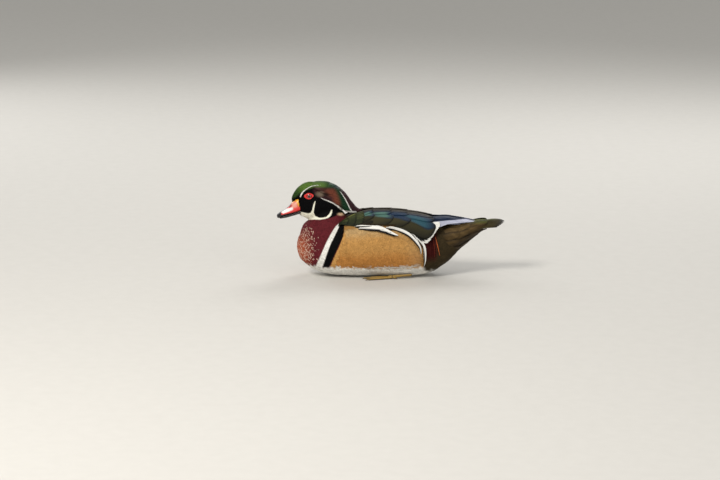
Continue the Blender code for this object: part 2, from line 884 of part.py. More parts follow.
def toe_point(turn, reach, height):
    """A point in front of the toes' root, turned out by some degrees."""
    direction = Vector((math.sin(math.radians(turn)), -math.cos(math.radians(turn)), 0))
    return Vector((TOE_ROOT.x, TOE_ROOT.y, 0)) + direction * reach + Vector((0, 0, height))


def make_web(inner, outer):
    """The skin between two toes, hollowed along its front edge."""
    (_, first, short), (_, second, long) = inner, outer

    def at(u, v, height):
        length = between(short, long, v) * (1 - 0.5 * v * (1 - v))
        return toe_point(between(first, second, v), 4 + (length - 5) * u, height)

    return slab("web", lambda u, v: at(u, v, 1.7), lambda u, v: at(u, v, 0.7), 4, 5)


def make_foot():
    """Three webbed toes forward and a short one back, flat on the floor."""
    foot = rod("foot_left", [TOE_ROOT, toe_point(3, 6, 3)], [3.3, 3])
    pieces = []
    for name, turn, length in TOES:
        joints = [toe_point(turn, length * share, 2.3 - 0.5 * share) for share in (0, 0.36, 0.68, 1)]
        pieces.append(rod("toe_" + name, joints, [2.7, 2.3, 2.1, 1.7]))
        claw = [toe_point(turn, length + reach, height) for reach, height in ((-2, 2), (3, 2.2), (7, 0.7))]
        pieces.append(rod("claw_" + name, claw, [1.5, 1.2, 0.35]))
    hind = [toe_point(160, reach, height) for reach, height in ((-2, 3.4), (6, 2), (11, 1.2))]
    pieces.append(rod("toe_hind", hind, [1.8, 1.5, 0.7]))
    pieces += [make_web(inner, outer) for inner, outer in zip(TOES, TOES[1:])]
    fuse(foot, pieces)
    stand_on_floor(foot)
    return foot


def make_plumes():
    """The thin gold plumes that hang over the side of the rump."""
    vanes = []
    for k in range(RUMP_PLUMES):
        ends = []
        for (y, z), (y_step, z_step) in ((RUMP_ROOT, RUMP_ROOT_STEP), (RUMP_TIP, RUMP_TIP_STEP)):
            ends.append((y + k * y_step, TORSO.angle_at_height(y + k * y_step, z + k * z_step)))
        place = raised(lie_on(TORSO, *ends, -1), 1.5 + 1.1 * k)
        vanes.append(vane(place, RUMP_WIDTH, 1.4 * k, 0.5, 0, 4, 2, 0.8))
    fuse(vanes[0], vanes[1:])
    vanes[0].name = "rump_plumes_left"
    return vanes[0]


def finish(made, group, finishes):
    """Gives a piece its colour, shades its round faces smooth, and puts it with the others."""
    colour, roughness = finishes
    material = bpy.data.materials.new(made.name)
    material.use_nodes = True
    shader = material.node_tree.nodes["Principled BSDF"]
    shader.inputs["Base Color"].default_value = (*colour, 1)
    shader.inputs["Roughness"].default_value = roughness
    shader.inputs["Metallic"].default_value = 0.0
    made.data.materials.clear()
    made.data.materials.append(material)
    made.data.name = made.name
    made.data.shade_smooth()
    made.data.set_sharp_from_angle(angle=math.radians(40))
    bpy.context.scene.collection.objects.unlink(made)
    group.objects.link(made)


def both_sides(left):
    """A left piece, and the same on the right."""
    return [left, mirrored(left, left.name.replace("_left", "_right"))]


def main():
    for obj in list(bpy.data.objects):
        bpy.data.objects.remove(obj)
    torso = make_torso()
    head = make_head()
    eyes = both_sides(make_eye())
    lid = make_lid()
    fuse(head, [lid, mirrored(lid, "lid_right")])
    clear_of(head, eyes)
    neck = make_neck()
    clear_of(neck, [torso, head])
    bill = make_upper_bill()
    lower_bill = make_lower_bill()
    clear_of(head, [bill, lower_bill])
    clear_of(lower_bill, [bill])

    wing = make_wing_core()
    covers = [wing_cover("wing_cover"), hand_cover("hand_cover")]
    covers += [mirrored(cover, cover.name + "_right") for cover in covers]
    crest = make_crest()
    clear_of(crest, [head, neck, torso, *covers])
    hand = make_hand()
    clear_of(hand, [torso, wing])
    fuse(wing, wing_feathers())
    clear_of(wing, [torso, neck])

    coverts = make_coverts()
    coverts_core = make_coverts_core()
    clear_of(coverts, [torso, *covers])
    tail = make_tail()
    clear_of(tail, [coverts_core])
    bpy.data.objects.remove(coverts_core)
    flank, flank_plumes = make_flank()
    fuse(flank, flank_plumes)
    clear_of(flank, [torso, covers[0], neck])
    leg = make_leg()
    foot = make_foot()
    clear_of(leg, [torso, flank])
    clear_of(foot, [leg, torso])
    plumes = make_plumes()
    clear_of(plumes, [torso, *covers])
    for cover in covers:
        bpy.data.objects.remove(cover)

    group = bpy.data.collections.new("wood_duck")
    bpy.context.scene.collection.children.link(group)
    pieces = (
        ([torso, neck], CHESTNUT),
        ([head], HEAD_GREEN),
        ([crest], CREST_GREEN),
        ([bill], BILL_RED),
        ([lower_bill], BILL_BLACK),
        (eyes, EYE_RED),
        (both_sides(flank), FLANK_TAN),
        (both_sides(wing), WING_BRONZE),
        (both_sides(hand), HAND_BLUE),
        ([coverts, tail], TAIL_OLIVE),
        (both_sides(plumes), PLUME_ORANGE),
        (both_sides(leg) + both_sides(foot), LEG_YELLOW),
    )
    for made, look in pieces:
        for piece in made:
            finish(piece, group, look)


main()
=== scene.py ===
import math
import bmesh
import bpy
import numpy as np
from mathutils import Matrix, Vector


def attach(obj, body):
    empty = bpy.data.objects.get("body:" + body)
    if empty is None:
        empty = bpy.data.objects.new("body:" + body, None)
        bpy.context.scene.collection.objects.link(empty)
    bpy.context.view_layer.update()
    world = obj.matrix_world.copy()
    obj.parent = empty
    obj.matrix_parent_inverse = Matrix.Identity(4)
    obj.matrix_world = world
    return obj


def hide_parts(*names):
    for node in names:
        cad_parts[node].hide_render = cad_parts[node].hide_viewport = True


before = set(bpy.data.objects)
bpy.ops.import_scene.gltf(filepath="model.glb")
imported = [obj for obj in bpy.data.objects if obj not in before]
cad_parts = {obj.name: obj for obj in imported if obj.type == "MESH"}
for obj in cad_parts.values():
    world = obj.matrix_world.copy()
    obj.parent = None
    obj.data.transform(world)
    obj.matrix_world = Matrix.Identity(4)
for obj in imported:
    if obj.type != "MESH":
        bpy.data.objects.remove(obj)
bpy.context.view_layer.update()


# The floor, the light and the camera
# A plain pale floor under soft studio lamps. The camera stands level with the middle of the
# bird's left side and looks a little down, as the photograph does.
MM = 0.001
FLOOR_REACH = 9.0
FLOOR_TONES = ((206, 203, 197), (200, 197, 191))
SKY_TONE = (232, 232, 230)
SKY_STRENGTH = 0.62
LENS_LENGTH = 150
CAMERA_HEIGHT = 11.0
CAMERA_DISTANCE = 5.55
CAMERA_TARGET = Vector((0, -0.0564, 0.065))
# Lamps: name, place, size, power and colour
LAMPS = (
    ("key", (2.0, -1.3, 2.1), 0.9, 62, (1, 0.97, 0.92)),
    ("fill", (2.2, 1.8, 1.0), 1.8, 13, (0.97, 0.98, 1)),
    ("rim", (-1.8, 0.9, 1.7), 1.2, 22, (1, 1, 1)),
    ("far_fill", (-1.9, -1.6, 1.2), 1.6, 16, (1, 1, 1)),
)


def linked(name, data):
    """A new object of the scene."""
    made = bpy.data.objects.new(name, data)
    bpy.context.scene.collection.objects.link(made)
    return made


def fetched(items, key, width=1, kind=np.float32):
    """One property of many items as an array, with a row for each item where it has parts."""
    values = np.zeros(len(items) * width, kind)
    items.foreach_get(key, values)
    return values.reshape(-1, width) if width > 1 else values


def mesh_object(name, points, faces, uvs=None):
    """A mesh in metres from points in millimetres, with an own UV map where one is given."""
    mesh = bpy.data.meshes.new(name)
    points = np.asarray(points, float) * MM
    mesh.from_pydata([tuple(p) for p in points], [], [tuple(f) for f in faces])
    mesh.update()
    for face in mesh.polygons:
        face.use_smooth = True
    if uvs is not None:
        corners = fetched(mesh.loops, "vertex_index", kind=np.int32)
        layer = mesh.uv_layers.new(name="vane")
        layer.data.foreach_set("uv", np.asarray(uvs, np.float32)[corners].ravel())
    return linked(name, mesh)


def socket_of(sockets, key):
    if isinstance(key, int):
        return sockets[key]
    return next(s for s in sockets if key in (s.identifier, s.name))


class Value:
    """A socket of a node tree. A sum or a product of values adds its Math node."""

    def __init__(self, tree, socket):
        self.tree, self.socket = tree, socket

    def math(self, operation, first, second=0.0):
        return self.tree.node("ShaderNodeMath", {"operation": operation}, {0: first, 1: second})(0)

    def __add__(self, other):
        return self.math("ADD", self, other)

    def __radd__(self, other):
        return self.math("ADD", other, self)

    def __sub__(self, other):
        return self.math("SUBTRACT", self, other)

    def __rsub__(self, other):
        return self.math("SUBTRACT", other, self)

    def __mul__(self, other):
        return self.math("MULTIPLY", self, other)

    def __rmul__(self, other):
        return self.math("MULTIPLY", other, self)

    def __abs__(self):
        return self.math("ABSOLUTE", self)

    def sine(self):
        return self.math("SINE", self)

    def step(self, low, high):
        """0 up to low and 1 from high, with a smooth rise between them."""
        settings = {"interpolation_type": "SMOOTHSTEP"}
        return self.tree.node("ShaderNodeMapRange", settings, {0: self, 1: low, 2: high})(0)


class Tree:
    """A node tree that is written as expressions."""

    def __init__(self, tree):
        self.tree = tree

    def node(self, kind, settings=(), values=()):
        """Adds a node, with its settings set before its sockets get their values or links."""
        made = self.tree.nodes.new(kind)
        for key, setting in dict(settings).items():
            setattr(made, key, setting)
        for key, value in dict(values).items():
            self.feed(socket_of(made.inputs, key), value)
        return lambda key: Value(self, socket_of(made.outputs, key))

    def feed(self, socket, value):
        if isinstance(value, Value):
            self.tree.links.new(value.socket, socket)
        elif isinstance(value, tuple) and len(value) == 3 and socket.type == "RGBA":
            socket.default_value = (*value, 1)
        else:
            socket.default_value = value

    def mix(self, first, second, share):
        """One colour over another, by a share that may change over the surface."""
        values = {"Factor_Float": share, "A_Color": first, "B_Color": second}
        return self.node("ShaderNodeMix", {"data_type": "RGBA"}, values)("Result_Color")

    def noise(self, place, scale, detail=2.0):
        values = {"Vector": place, "Scale": scale, "Detail": detail}
        return self.node("ShaderNodeTexNoise", {}, values)("Fac")


class Finish(Tree):
    """A material with one Principled shader."""

    def __init__(self, name):
        self.material = bpy.data.materials.new(name)
        self.material.use_nodes = True
        super().__init__(self.material.node_tree)
        self.shader = self.tree.nodes["Principled BSDF"]
        self.place = self.node("ShaderNodeTexCoord")("Object")

    def set(self, **values):
        for key, value in values.items():
            self.feed(self.shader.inputs[key.replace("_", " ")], value)

    def bump(self, height, strength, distance):
        values = {"Height": height, "Strength": strength, "Distance": distance}
        self.set(Normal=self.node("ShaderNodeBump", {}, values)("Normal"))

    def carried(self, name, output="Color"):
        """What each point of the mesh carries under a name."""
        return self.node("ShaderNodeAttribute", {"attribute_name": name})(output)


def tone(red, green, blue):
    """A colour as a paint chart gives it, 0 to 255, in the light that a shader reckons with."""
    shares = [value / 255 for value in (red, green, blue)]
    return tuple(s / 12.92 if s < 0.04045 else ((s + 0.055) / 1.055) ** 2.4 for s in shares)


def lay_floor():
    finish = Finish("studio_floor")
    pale, dark = (tone(*parts) for parts in FLOOR_TONES)
    finish.set(Base_Color=finish.mix(pale, dark, finish.noise(finish.place, 40)), Roughness=0.85)
    reach = FLOOR_REACH / MM
    corners = [(-reach, -reach, 0), (reach, -reach, 0), (reach, reach, 0), (-reach, reach, 0)]
    floor = mesh_object("floor", corners, [(0, 1, 2, 3)])
    floor.data.materials.append(finish.material)


def hang_lamps():
    for name, place, size, power, colour in LAMPS:
        lamp = bpy.data.lights.new(name, "AREA")
        lamp.energy, lamp.size, lamp.color = power, size, colour
        holder = linked(name, lamp)
        holder.location = place
        holder.rotation_euler = (CAMERA_TARGET - Vector(place)).to_track_quat("-Z", "Y").to_euler()
    world = bpy.data.worlds.new("studio")
    world.use_nodes = True
    sky = world.node_tree.nodes["Background"].inputs
    sky["Color"].default_value = (*tone(*SKY_TONE), 1)
    sky["Strength"].default_value = SKY_STRENGTH
    bpy.context.scene.world = world
    bpy.context.scene.view_settings.view_transform = "Standard"


def set_camera():
    camera = linked("camera", bpy.data.cameras.new("camera"))
    camera.data.lens = LENS_LENGTH
    lift = math.radians(CAMERA_HEIGHT)
    away = Vector((math.cos(lift), 0, math.sin(lift)))
    camera.location = CAMERA_TARGET + away * CAMERA_DISTANCE
    camera.rotation_euler = (-away).to_track_quat("-Z", "Y").to_euler()
    bpy.context.scene.camera = camera


lay_floor()
hang_lamps()
set_camera()


# The skin
# The bird's body under its feathers, from the bill to the root of the tail: one soft form,
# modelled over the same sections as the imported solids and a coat's depth inside them.
TORSO_STATIONS = (
    (-172, 0, 56, 56), (-168, 19, 77, 34), (-160, 29, 87, 24), (-148, 37, 93, 14),
    (-125, 47, 97, 4), (-106, 52, 103, 0), (-88, 55, 111.5, -1), (-65, 57.5, 118.5, -2),
    (-30, 59, 121.5, -2), (0, 59, 121, -2), (40, 55, 116, -2), (70, 47, 108, 3),
    (95, 37, 99, 16), (118, 26, 90, 36), (135, 0, 68, 68),
)
HEAD_STATIONS = (
    (-183, 0, 143, 143), (-180, 6.2, 153, 131), (-175, 9.2, 161, 123), (-168, 13.6, 168, 114),
    (-158, 18.2, 174, 106.5), (-148, 20.4, 175.8, 103.6), (-130, 21.6, 175, 102.6),
    (-112, 20.2, 168.5, 105), (-98, 16, 157, 112), (-86, 0, 138, 138),
)
CROWN = 176.3
CREST_STATIONS = (
    (-154, 0, 170, 170), (-146, 13, CROWN - 1.5, 160), (-130, 20.4, CROWN - 0.9, 147),
    (-112, 21.4, 173, 136), (-98, 19, 166.6, 128), (-84, 15, 154.6, 119.5),
    (-72, 10.6, 138.5, 115.2), (-62, 6.6, 127, 116.2), (-50, 3, 120.6, 117),
)
# The neck's sections climb: height, half width, front and back
NECK_STATIONS = (
    (60, 44, -170, -66), (75, 42, -168.5, -66), (85, 40, -166, -66), (95, 35.5, -161, -70),
    (104, 29.5, -152, -76), (112, 25.5, -146, -82), (124, 20, -142, -90), (136, 14, -138, -98),
)
WING_STATIONS = (
    (-100, 47, 108, 20), (-85, 57.5, 116, 8), (-62, 62, 123, 4), (-30, 63.5, 125.5, 3),
    (0, 63.5, 125, 3), (40, 60.5, 120.6, 6), (70, 53, 114.6, 16), (90, 42, 111.8, 50),
    (110, 31, 111, 76), (135, 20.5, 109, 80), (158, 13.5, 106.2, 84),
)
COVERT_STATIONS = (
    (92, 30, 97, 34), (110, 31, 97.8, 38), (123, 30, 99, 45.5), (135, 28, 101, 55.5),
    (147, 25.4, 103.2, 65.6), (160, 22.6, 105, 76.5), (172, 19, 106, 85), (196, 12, 106.4, 92),
)
# The side pocket's upper and lower edges as y and height, and its ends as a share of the way
# down from the one to the other and y
FLANK_TOP = ((-92, 98), (-60, 102), (5, 101), (36, 91), (58, 72), (72, 54))
FLANK_LOW = ((-92, 42), (-40, 22), (30, 20), (72, 34))
FLANK_FRONT = ((0, -82), (0.35, -92), (0.7, -90), (1, -70))
FLANK_BACK = ((0, 34), (0.3, 52), (0.65, 60), (1, 46))
# The eye sees the bird from a little above its side: a point further out seems lower by this share
LOOK_DOWN = 0.19
# Where the bill's base lies bare on the side of the face, as y and the height that it seems to have
BILL_BASE = (
    (-190, 130), (-183, 137.5), (-176, 142), (-168.2, 147.2), (-169.2, 141.5), (-170.4, 135),
    (-170.2, 126), (-167.4, 121.6), (-169.6, 118.4), (-190, 112),
)
# How far the skin is pinched in under the bill's base
BASE_PINCH = 0.3
# How deep the side pocket's plate reaches into the torso
FLANK_DEPTH = 8.0
# Points closer than this, in metres, are one
SAME_POINT = 0.00001
SKIN_VOXEL = 2.2
SKIN_SMOOTHING = 6


def curve_through(xs, ys):
    """A smooth curve through the points that never swings past them."""
    xs, ys = np.asarray(xs, float), np.asarray(ys, float)
    rises = np.diff(ys) / np.diff(xs)
    product, total = rises[:-1] * rises[1:], rises[:-1] + rises[1:]
    meets = np.where(product > 0, 2 * product / np.where(total == 0, 1, total), 0)
    slopes = np.concatenate([rises[:1], meets, rises[-1:]])

    def at(x):
        x = np.clip(x, xs[0], xs[-1])
        i = np.clip(np.searchsorted(xs, x, side="left") - 1, 0, len(xs) - 2)
        step = xs[i + 1] - xs[i]
        t = (x - xs[i]) / step
        bend = t * (1 - t) * ((1 - t) * slopes[i] - t * slopes[i + 1]) * step
        return ys[i] + (ys[i + 1] - ys[i]) * t * t * (3 - 2 * t) + bend

    return at


def table_curve(pairs):
    return curve_through(*zip(*pairs))


def between(first, last, share):
    return first + (last - first) * share


def signed_power(value, power):
    return np.copysign(np.abs(value) ** power, value)


class Form:
    """A smooth body of sections across Y, each an egg-like superellipse."""

    def __init__(self, stations, waist, upper, lower):
        ys, widths, tops, bottoms = (np.array(column, float) for column in zip(*stations))
        self.width_squared = curve_through(ys, widths**2)
        self.height_squared = curve_through(ys, (tops - bottoms) ** 2)
        self.middle = curve_through(ys, (tops + bottoms) / 2)
        self.first, self.last = ys[0], ys[-1]
        self.waist, self.upper, self.lower = waist, upper, lower

    def section(self, y):
        width = np.sqrt(np.maximum(self.width_squared(y), 0))
        height = np.sqrt(np.maximum(self.height_squared(y), 0))
        below = height * self.waist
        return width, self.middle(y) - height / 2 + below, height - below, below

    def at(self, y, angle, lift=0.0):
        """Points at an angle from the left side, a quarter turn being the top."""
        width, widest, above, below = self.section(y)
        c, s = np.cos(angle), np.sin(angle)
        reach = np.where(s >= 0, above, below)
        power = np.where(s >= 0, self.upper, self.lower)
        x = width * signed_power(c, 2 / power)
        z = widest + reach * signed_power(s, 2 / power)
        across = signed_power(c, 2 - 2 / power) * np.maximum(reach, 0.01)
        up = signed_power(s, 2 - 2 / power) * np.maximum(width, 0.01)
        length = np.maximum(np.hypot(across, up), 1e-9)
        points = np.broadcast_arrays(x + across / length * lift, y, z + up / length * lift)
        return np.stack(points, axis=-1)

    def arc(self, y, angle):
        """How far one radian reaches round the section at an angle."""
        step = 0.06
        span = self.at(y, angle + step) - self.at(y, angle - step)
        return np.maximum(np.linalg.norm(span, axis=-1) / (2 * step), 2)

    def angle_at_height(self, y, z):
        """The angle on the left side where the section passes a height."""
        width, widest, above, below = self.section(y)
        over = z >= widest
        share = np.clip((z - widest) / np.where(over, above, below), -1, 1)
        up = signed_power(share, np.where(over, self.upper, self.lower) / 2)
        return np.arcsin(np.clip(up, -1, 1))

    def angle_at_side(self, y, x):
        """The angle on the upper left where the section passes a distance from the middle."""
        share = np.clip(x / np.maximum(self.section(y)[0], 0.01), 0, 1)
        return np.arccos(share ** (self.upper / 2))


TORSO = Form(TORSO_STATIONS, waist=0.47, upper=2.15, lower=2.5)
HEAD = Form(HEAD_STATIONS, waist=0.42, upper=2.1, lower=2.15)
WINGS = Form(WING_STATIONS, waist=0.47, upper=2.15, lower=2.5)
CREST = Form(CREST_STATIONS, waist=0.35, upper=2.1, lower=2.6)
COVERTS = Form(COVERT_STATIONS, waist=0.6, upper=2.2, lower=1.8)


def grid_faces(rows, columns, start=0, closed=False):
    """The faces of a grid of points, row by row, whose rows may close on themselves."""
    faces = []
    for r in range(rows - 1):
        for k in range(columns if closed else columns - 1):
            a, b = start + r * columns + k, start + r * columns + (k + 1) % columns
            faces.append((a, b, b + columns, a + columns))
    return faces


def face_out(obj):
    """Merges the points of a pole and turns every face of a closed mesh outwards."""
    bm = bmesh.new()
    bm.from_mesh(obj.data)
    bmesh.ops.remove_doubles(bm, verts=bm.verts, dist=SAME_POINT)
    bmesh.ops.recalc_face_normals(bm, faces=bm.faces)
    if bm.calc_volume(signed=True) < 0:
        bmesh.ops.reverse_faces(bm, faces=bm.faces)
    bm.to_mesh(obj.data)
    bm.free()
    return obj


def loft(name, rings):
    """A closed skin over rings of equal count, with a cap at each end."""
    rings = np.asarray(rings, float)
    count, sides = rings.shape[:2]
    points = list(rings.reshape(-1, 3)) + [rings[0].mean(0), rings[-1].mean(0)]
    faces = grid_faces(count, sides, closed=True)
    for row, centre in ((0, len(points) - 2), (count - 1, len(points) - 1)):
        faces += [(row * sides + k, row * sides + (k + 1) % sides, centre) for k in range(sides)]
    return face_out(mesh_object(name, points, faces))


def spaced(first, last, count):
    """Values from first to last, closer together at both ends."""
    return first + (last - first) * (1 - np.cos(np.linspace(0, math.pi, count))) / 2


def form_rings(form, rings, sides, sink, last=None):
    ys = spaced(form.first + 0.05, (form.last if last is None else last) - 0.05, rings)
    turns = 2 * math.pi * (np.arange(sides) + 0.5) / sides
    return form.at(ys[:, None], turns[None, :], -sink)


def neck_rings(rings, sides, sink):
    heights, widths, fronts, backs = zip(*NECK_STATIONS)
    z = np.linspace(heights[0], heights[-1], rings)[:, None]
    front, back = curve_through(heights, fronts)(z), curve_through(heights, backs)(z)
    turns = (2 * math.pi * np.arange(sides) / sides)[None, :]
    x = (curve_through(heights, widths)(z) - sink) * np.cos(turns)
    y = (front + back) / 2 + ((back - front) / 2 - sink) * np.sin(turns)
    return np.stack(np.broadcast_arrays(x, y, z), axis=-1)


def flank_spans(u, v):
    y = between(table_curve(FLANK_FRONT)(v), table_curve(FLANK_BACK)(v), u)
    top = TORSO.angle_at_height(y, table_curve(FLANK_TOP)(y))
    low = TORSO.angle_at_height(y, table_curve(FLANK_LOW)(y))
    return y, between(top, low, v)


def bump(t):
    return np.maximum(1 - (2 * t - 1) ** 2, 0)


def flank_lift(u, v):
    """How far the side pocket stands off the torso: most along its top and in its middle."""
    return 1.2 + 4.4 * np.maximum(0, 1 - v / 0.35) + 3.6 * bump(u) * bump(0.5 + v / 2)


def plate_faces(rows, columns, start=0):
    """The faces of a closed plate between two grids of points that follow one another."""
    size = rows * columns
    faces = grid_faces(rows, columns, start)
    faces += [f[::-1] for f in grid_faces(rows, columns, start + size)]
    rim = list(range(columns))
    rim += [r * columns + columns - 1 for r in range(1, rows)]
    rim += [(rows - 1) * columns + k for k in range(columns - 2, -1, -1)]
    rim += [r * columns for r in range(rows - 2, 0, -1)]
    for a, b in zip(rim, rim[1:] + rim[:1]):
        faces.append((start + b, start + a, start + a + size, start + b + size))
    return faces


def flank_solid(side, sink):
    rows, columns = 30, 20
    shares = np.linspace(0, 1, rows), np.linspace(0, 1, columns)
    u, v = np.meshgrid(*shares, indexing="ij")
    y, angle = flank_spans(u, v)
    plate = np.stack([TORSO.at(y, angle, flank_lift(u, v) - sink), TORSO.at(y, angle, -FLANK_DEPTH)])
    points = plate.reshape(-1, 3) * (side, 1, 1)
    return face_out(mesh_object("flank", points, plate_faces(rows, columns)))


def applied(obj):
    """A modified object's final mesh, in place of the object."""
    graph = bpy.context.evaluated_depsgraph_get()
    mesh = bpy.data.meshes.new_from_object(obj.evaluated_get(graph))
    obj.modifiers.clear()
    obj.data = mesh
    return obj


def joined(name, objects):
    """One object of several."""
    with bpy.context.temp_override(
        active_object=objects[0], selected_editable_objects=objects, selected_objects=objects
    ):
        bpy.ops.object.join()
    objects[0].name = name
    objects[0].data.name = name
    return objects[0]


def points_of(mesh):
    """The points of a mesh in millimetres."""
    return fetched(mesh.vertices, "co", 3) / MM


def moved(mesh, points):
    """Sets the points of a mesh, given in millimetres."""
    mesh.vertices.foreach_set("co", (points * MM).astype(np.float32).ravel())
    mesh.update()


def eye_view(points):
    """The two coordinates that the markings are drawn in."""
    return points[:, 1], points[:, 2] - LOOK_DOWN * np.abs(points[:, 0])


def rise(value, low, high):
    """0 up to low and 1 from high, with a smooth rise between them."""
    t = np.clip((value - low) / (high - low), 0, 1)
    return t * t * (3 - 2 * t)


def fall(value, low, high):
    """1 up to low and 0 from high, with a smooth fall between them."""
    return rise(-value, -high, -low)


def inside(y, w, outline, soft):
    """1 within an outline and 0 beyond it, with a soft edge."""
    within = np.zeros(np.shape(y), bool)
    away = np.full(np.shape(y), 1e9)
    for (ya, wa), (yb, wb) in zip(outline, outline[1:] + outline[:1]):
        length = (yb - ya) ** 2 + (wb - wa) ** 2
        t = np.clip(((y - ya) * (yb - ya) + (w - wa) * (wb - wa)) / length, 0, 1)
        away = np.minimum(away, np.hypot(y - ya - t * (yb - ya), w - wa - t * (wb - wa)))
        if wa != wb:
            cross = (wa > w) != (wb > w)
            within ^= cross & (y < (yb - ya) * (w - wa) / (wb - wa) + ya)
    return rise(np.where(within, away, -away), -soft, soft)


def make_skin():
    """One body of the bird's forms, each sunk by the depth of the coat over it."""
    forms = [
        loft("torso", form_rings(TORSO, 60, 64, 3.4)),
        loft("neck", neck_rings(30, 64, 1.8)),
        loft("head", form_rings(HEAD, 50, 56, 1.5)),
        loft("crest", form_rings(CREST, 40, 40, 4.5, -80)),
        loft("coverts", form_rings(COVERTS, 30, 40, 3.2, 176)),
        flank_solid(1, 2.6),
        flank_solid(-1, 2.6),
    ]
    skin = joined("skin", forms)
    remesh = skin.modifiers.new("remesh", "REMESH")
    remesh.mode, remesh.voxel_size, remesh.use_smooth_shade = "VOXEL", SKIN_VOXEL * MM, True
    smooth = skin.modifiers.new("smooth", "SMOOTH")
    smooth.factor, smooth.iterations = 0.5, SKIN_SMOOTHING
    skin = applied(skin)
    points = points_of(skin.data)
    points[:, 0] *= 1 - BASE_PINCH * inside(*eye_view(points), BILL_BASE, 1.2)
    moved(skin.data, points)
    return skin


skin = make_skin()


# The markings
# Where each colour of the plumage lies, drawn as the eye sees the bird from a little above its
# side: y along the bird, and w, the height that a point seems to have from there. Both sides match.
MAROON = tone(96, 34, 40)
RUSSET = tone(168, 88, 60)
WHITE = tone(240, 238, 231)
CREAM = tone(255, 250, 228)
BLACK = tone(5, 5, 6)
CROWN_GREEN = tone(86, 114, 48)
DEEP_GREEN = tone(20, 52, 30)
NAVY = tone(16, 26, 44)
RUST = tone(114, 60, 42)
BROWN = tone(62, 34, 28)
# The next colour is a painted grey-beige sheen on the dark hood behind the eye
BEIGE_SHEEN = tone(132, 118, 100)
PURPLE_BROWN = tone(54, 30, 34)
FLANK_GOLD = tone(198, 148, 84)
FLANK_ORANGE = tone(186, 122, 58)
FLANK_GREY = tone(188, 168, 128)
RUMP_MAROON = tone(66, 20, 18)
OLIVE = tone(58, 48, 30)
PEACH = tone(222, 186, 150)
FLECK = tone(236, 204, 182)
# The face's white strokes: how soft their edge is, then y, seeming height and width along each
LINE_EDGE = 0.3
BROW_LINE = (
    (-166, 146.4, 2.0), (-164.4, 150.9, 2.4), (-161.3, 155.4, 2.0), (-156.2, 159.6, 1.5),
    (-150.3, 163.6, 1.2), (-144.4, 166.3, 1.0), (-136.8, 167.5, 0.6), (-129, 168, 0.1),
)
CREST_LOW_LINE = (
    (-129.5, 144.2, 0.5), (-122.6, 141.2, 1.2), (-112, 137, 1.7), (-104.9, 133.6, 2.1),
    (-97.8, 129.2, 2.5), (-91.9, 123.8, 2.8), (-85.4, 119.2, 2.8), (-79, 118.2, 3),
    (-72, 117.8, 3), (-64, 117.6, 2.8),
)
CREST_TOP_LINE = (
    (-93.1, 156.2, 0.5), (-88.4, 149.6, 1.1), (-83.1, 141.2, 1.5), (-79.5, 134, 1.6),
    (-76, 126.2, 1.6), (-70.7, 117.8, 1.5), (-66, 115, 1.2),
)
THROAT = (
    (-166.3, 118), (-152.1, 114.9), (-147.4, 116), (-144.6, 121), (-142.3, 131),
    (-139.5, 137.6), (-138.2, 138), (-140.3, 126.8), (-141.8, 117), (-139, 110.4),
    (-132, 106.9), (-125, 106.9), (-118.4, 108.4), (-113, 113.6), (-110.4, 119.6),
    (-108.6, 122.2), (-107.4, 121.4), (-108, 116), (-110.2, 110.8), (-114, 107.2),
    (-121.4, 104.6), (-129.7, 103.4), (-140.3, 103.5), (-160, 98), (-180, 98), (-180, 122),
)
NECK_TOP = (
    (-180, 103), (-140, 103.3), (-129.7, 103), (-121, 104), (-113.8, 106), (-108, 107.5),
    (-99, 111.5), (-92, 114), (-70, 116), (-60, 60), (-60, 30), (-190, 30),
)
WHITE_BAR = (
    (-94.9, 96.5), (-93.1, 94), (-99, 81.1), (-104.9, 69.1), (-110.8, 57.1), (-115.2, 45.1),
    (-119.6, 33), (-126, 14), (-139, 14), (-130.9, 31.8), (-125, 45), (-117.6, 61.9),
    (-109.8, 77), (-101.4, 90.5),
)
BLACK_BAR = (
    (-93.5, 97), (-85, 97), (-86, 80), (-88.4, 69.1), (-94.3, 56.5), (-104.9, 33),
    (-113, 14), (-126, 14), (-119.6, 33), (-115.2, 45.1), (-110.8, 57.1), (-104.9, 69.1),
    (-99, 81.1),
)
# The lower edge of the hood's brown, and of the crown's green
HOOD_LOW_EDGE = ((-190, 150), (-168, 148), (-150, 158), (-130, 144), (-110, 136), (-90, 122))
CROWN_LOW_EDGE = (
    (-190, 142), (-176, 146), (-168, 152), (-156, 160), (-140, 165.6), (-122, 164), (-105, 163),
)
# Where the green behind the rusty patch of the hood begins, as w and y
GREEN_REAR = ((112, -88), (126, -89), (138, -92), (150, -96), (160, -101))
# Where the brown of the hood's rear begins, as w and y
CREST_REAR = (
    (112, -66), (118, -71), (126, -76), (134, -79.5), (141, -83), (150, -88.5), (156, -93), (166, -97),
)
# The front edge of the golden side pocket, as w and y, and its edge along the top and the rear
FLANK_EDGE_FRONT = ((16, -110), (30.6, -104.4), (53.5, -93.8), (69, -87.9), (79, -85.5), (98, -84.5))
FLANK_EDGE_BACK = (
    (-90, 98), (-60, 102), (5, 100), (25, 93), (45, 80), (55, 68), (60, 58), (62, 44), (62, 24),
    (60, 0),
)


def on_line(value, line):
    """What a broken line of pairs gives at a value."""
    return np.interp(value, *np.transpose(line))


def near_line(y, w, line):
    """1 on a stroke of given widths along a line, and 0 away from it."""
    best = np.full(np.shape(y), 1e9)
    for (ya, wa, ta), (yb, wb, tb) in zip(line, line[1:]):
        length = (yb - ya) ** 2 + (wb - wa) ** 2
        t = np.clip(((y - ya) * (yb - ya) + (w - wa) * (wb - wa)) / length, 0, 1)
        away = np.hypot(y - ya - t * (yb - ya), w - wa - t * (wb - wa))
        best = np.minimum(best, away - (ta + (tb - ta) * t) / 2)
    return 1 - rise(best, -LINE_EDGE, LINE_EDGE)


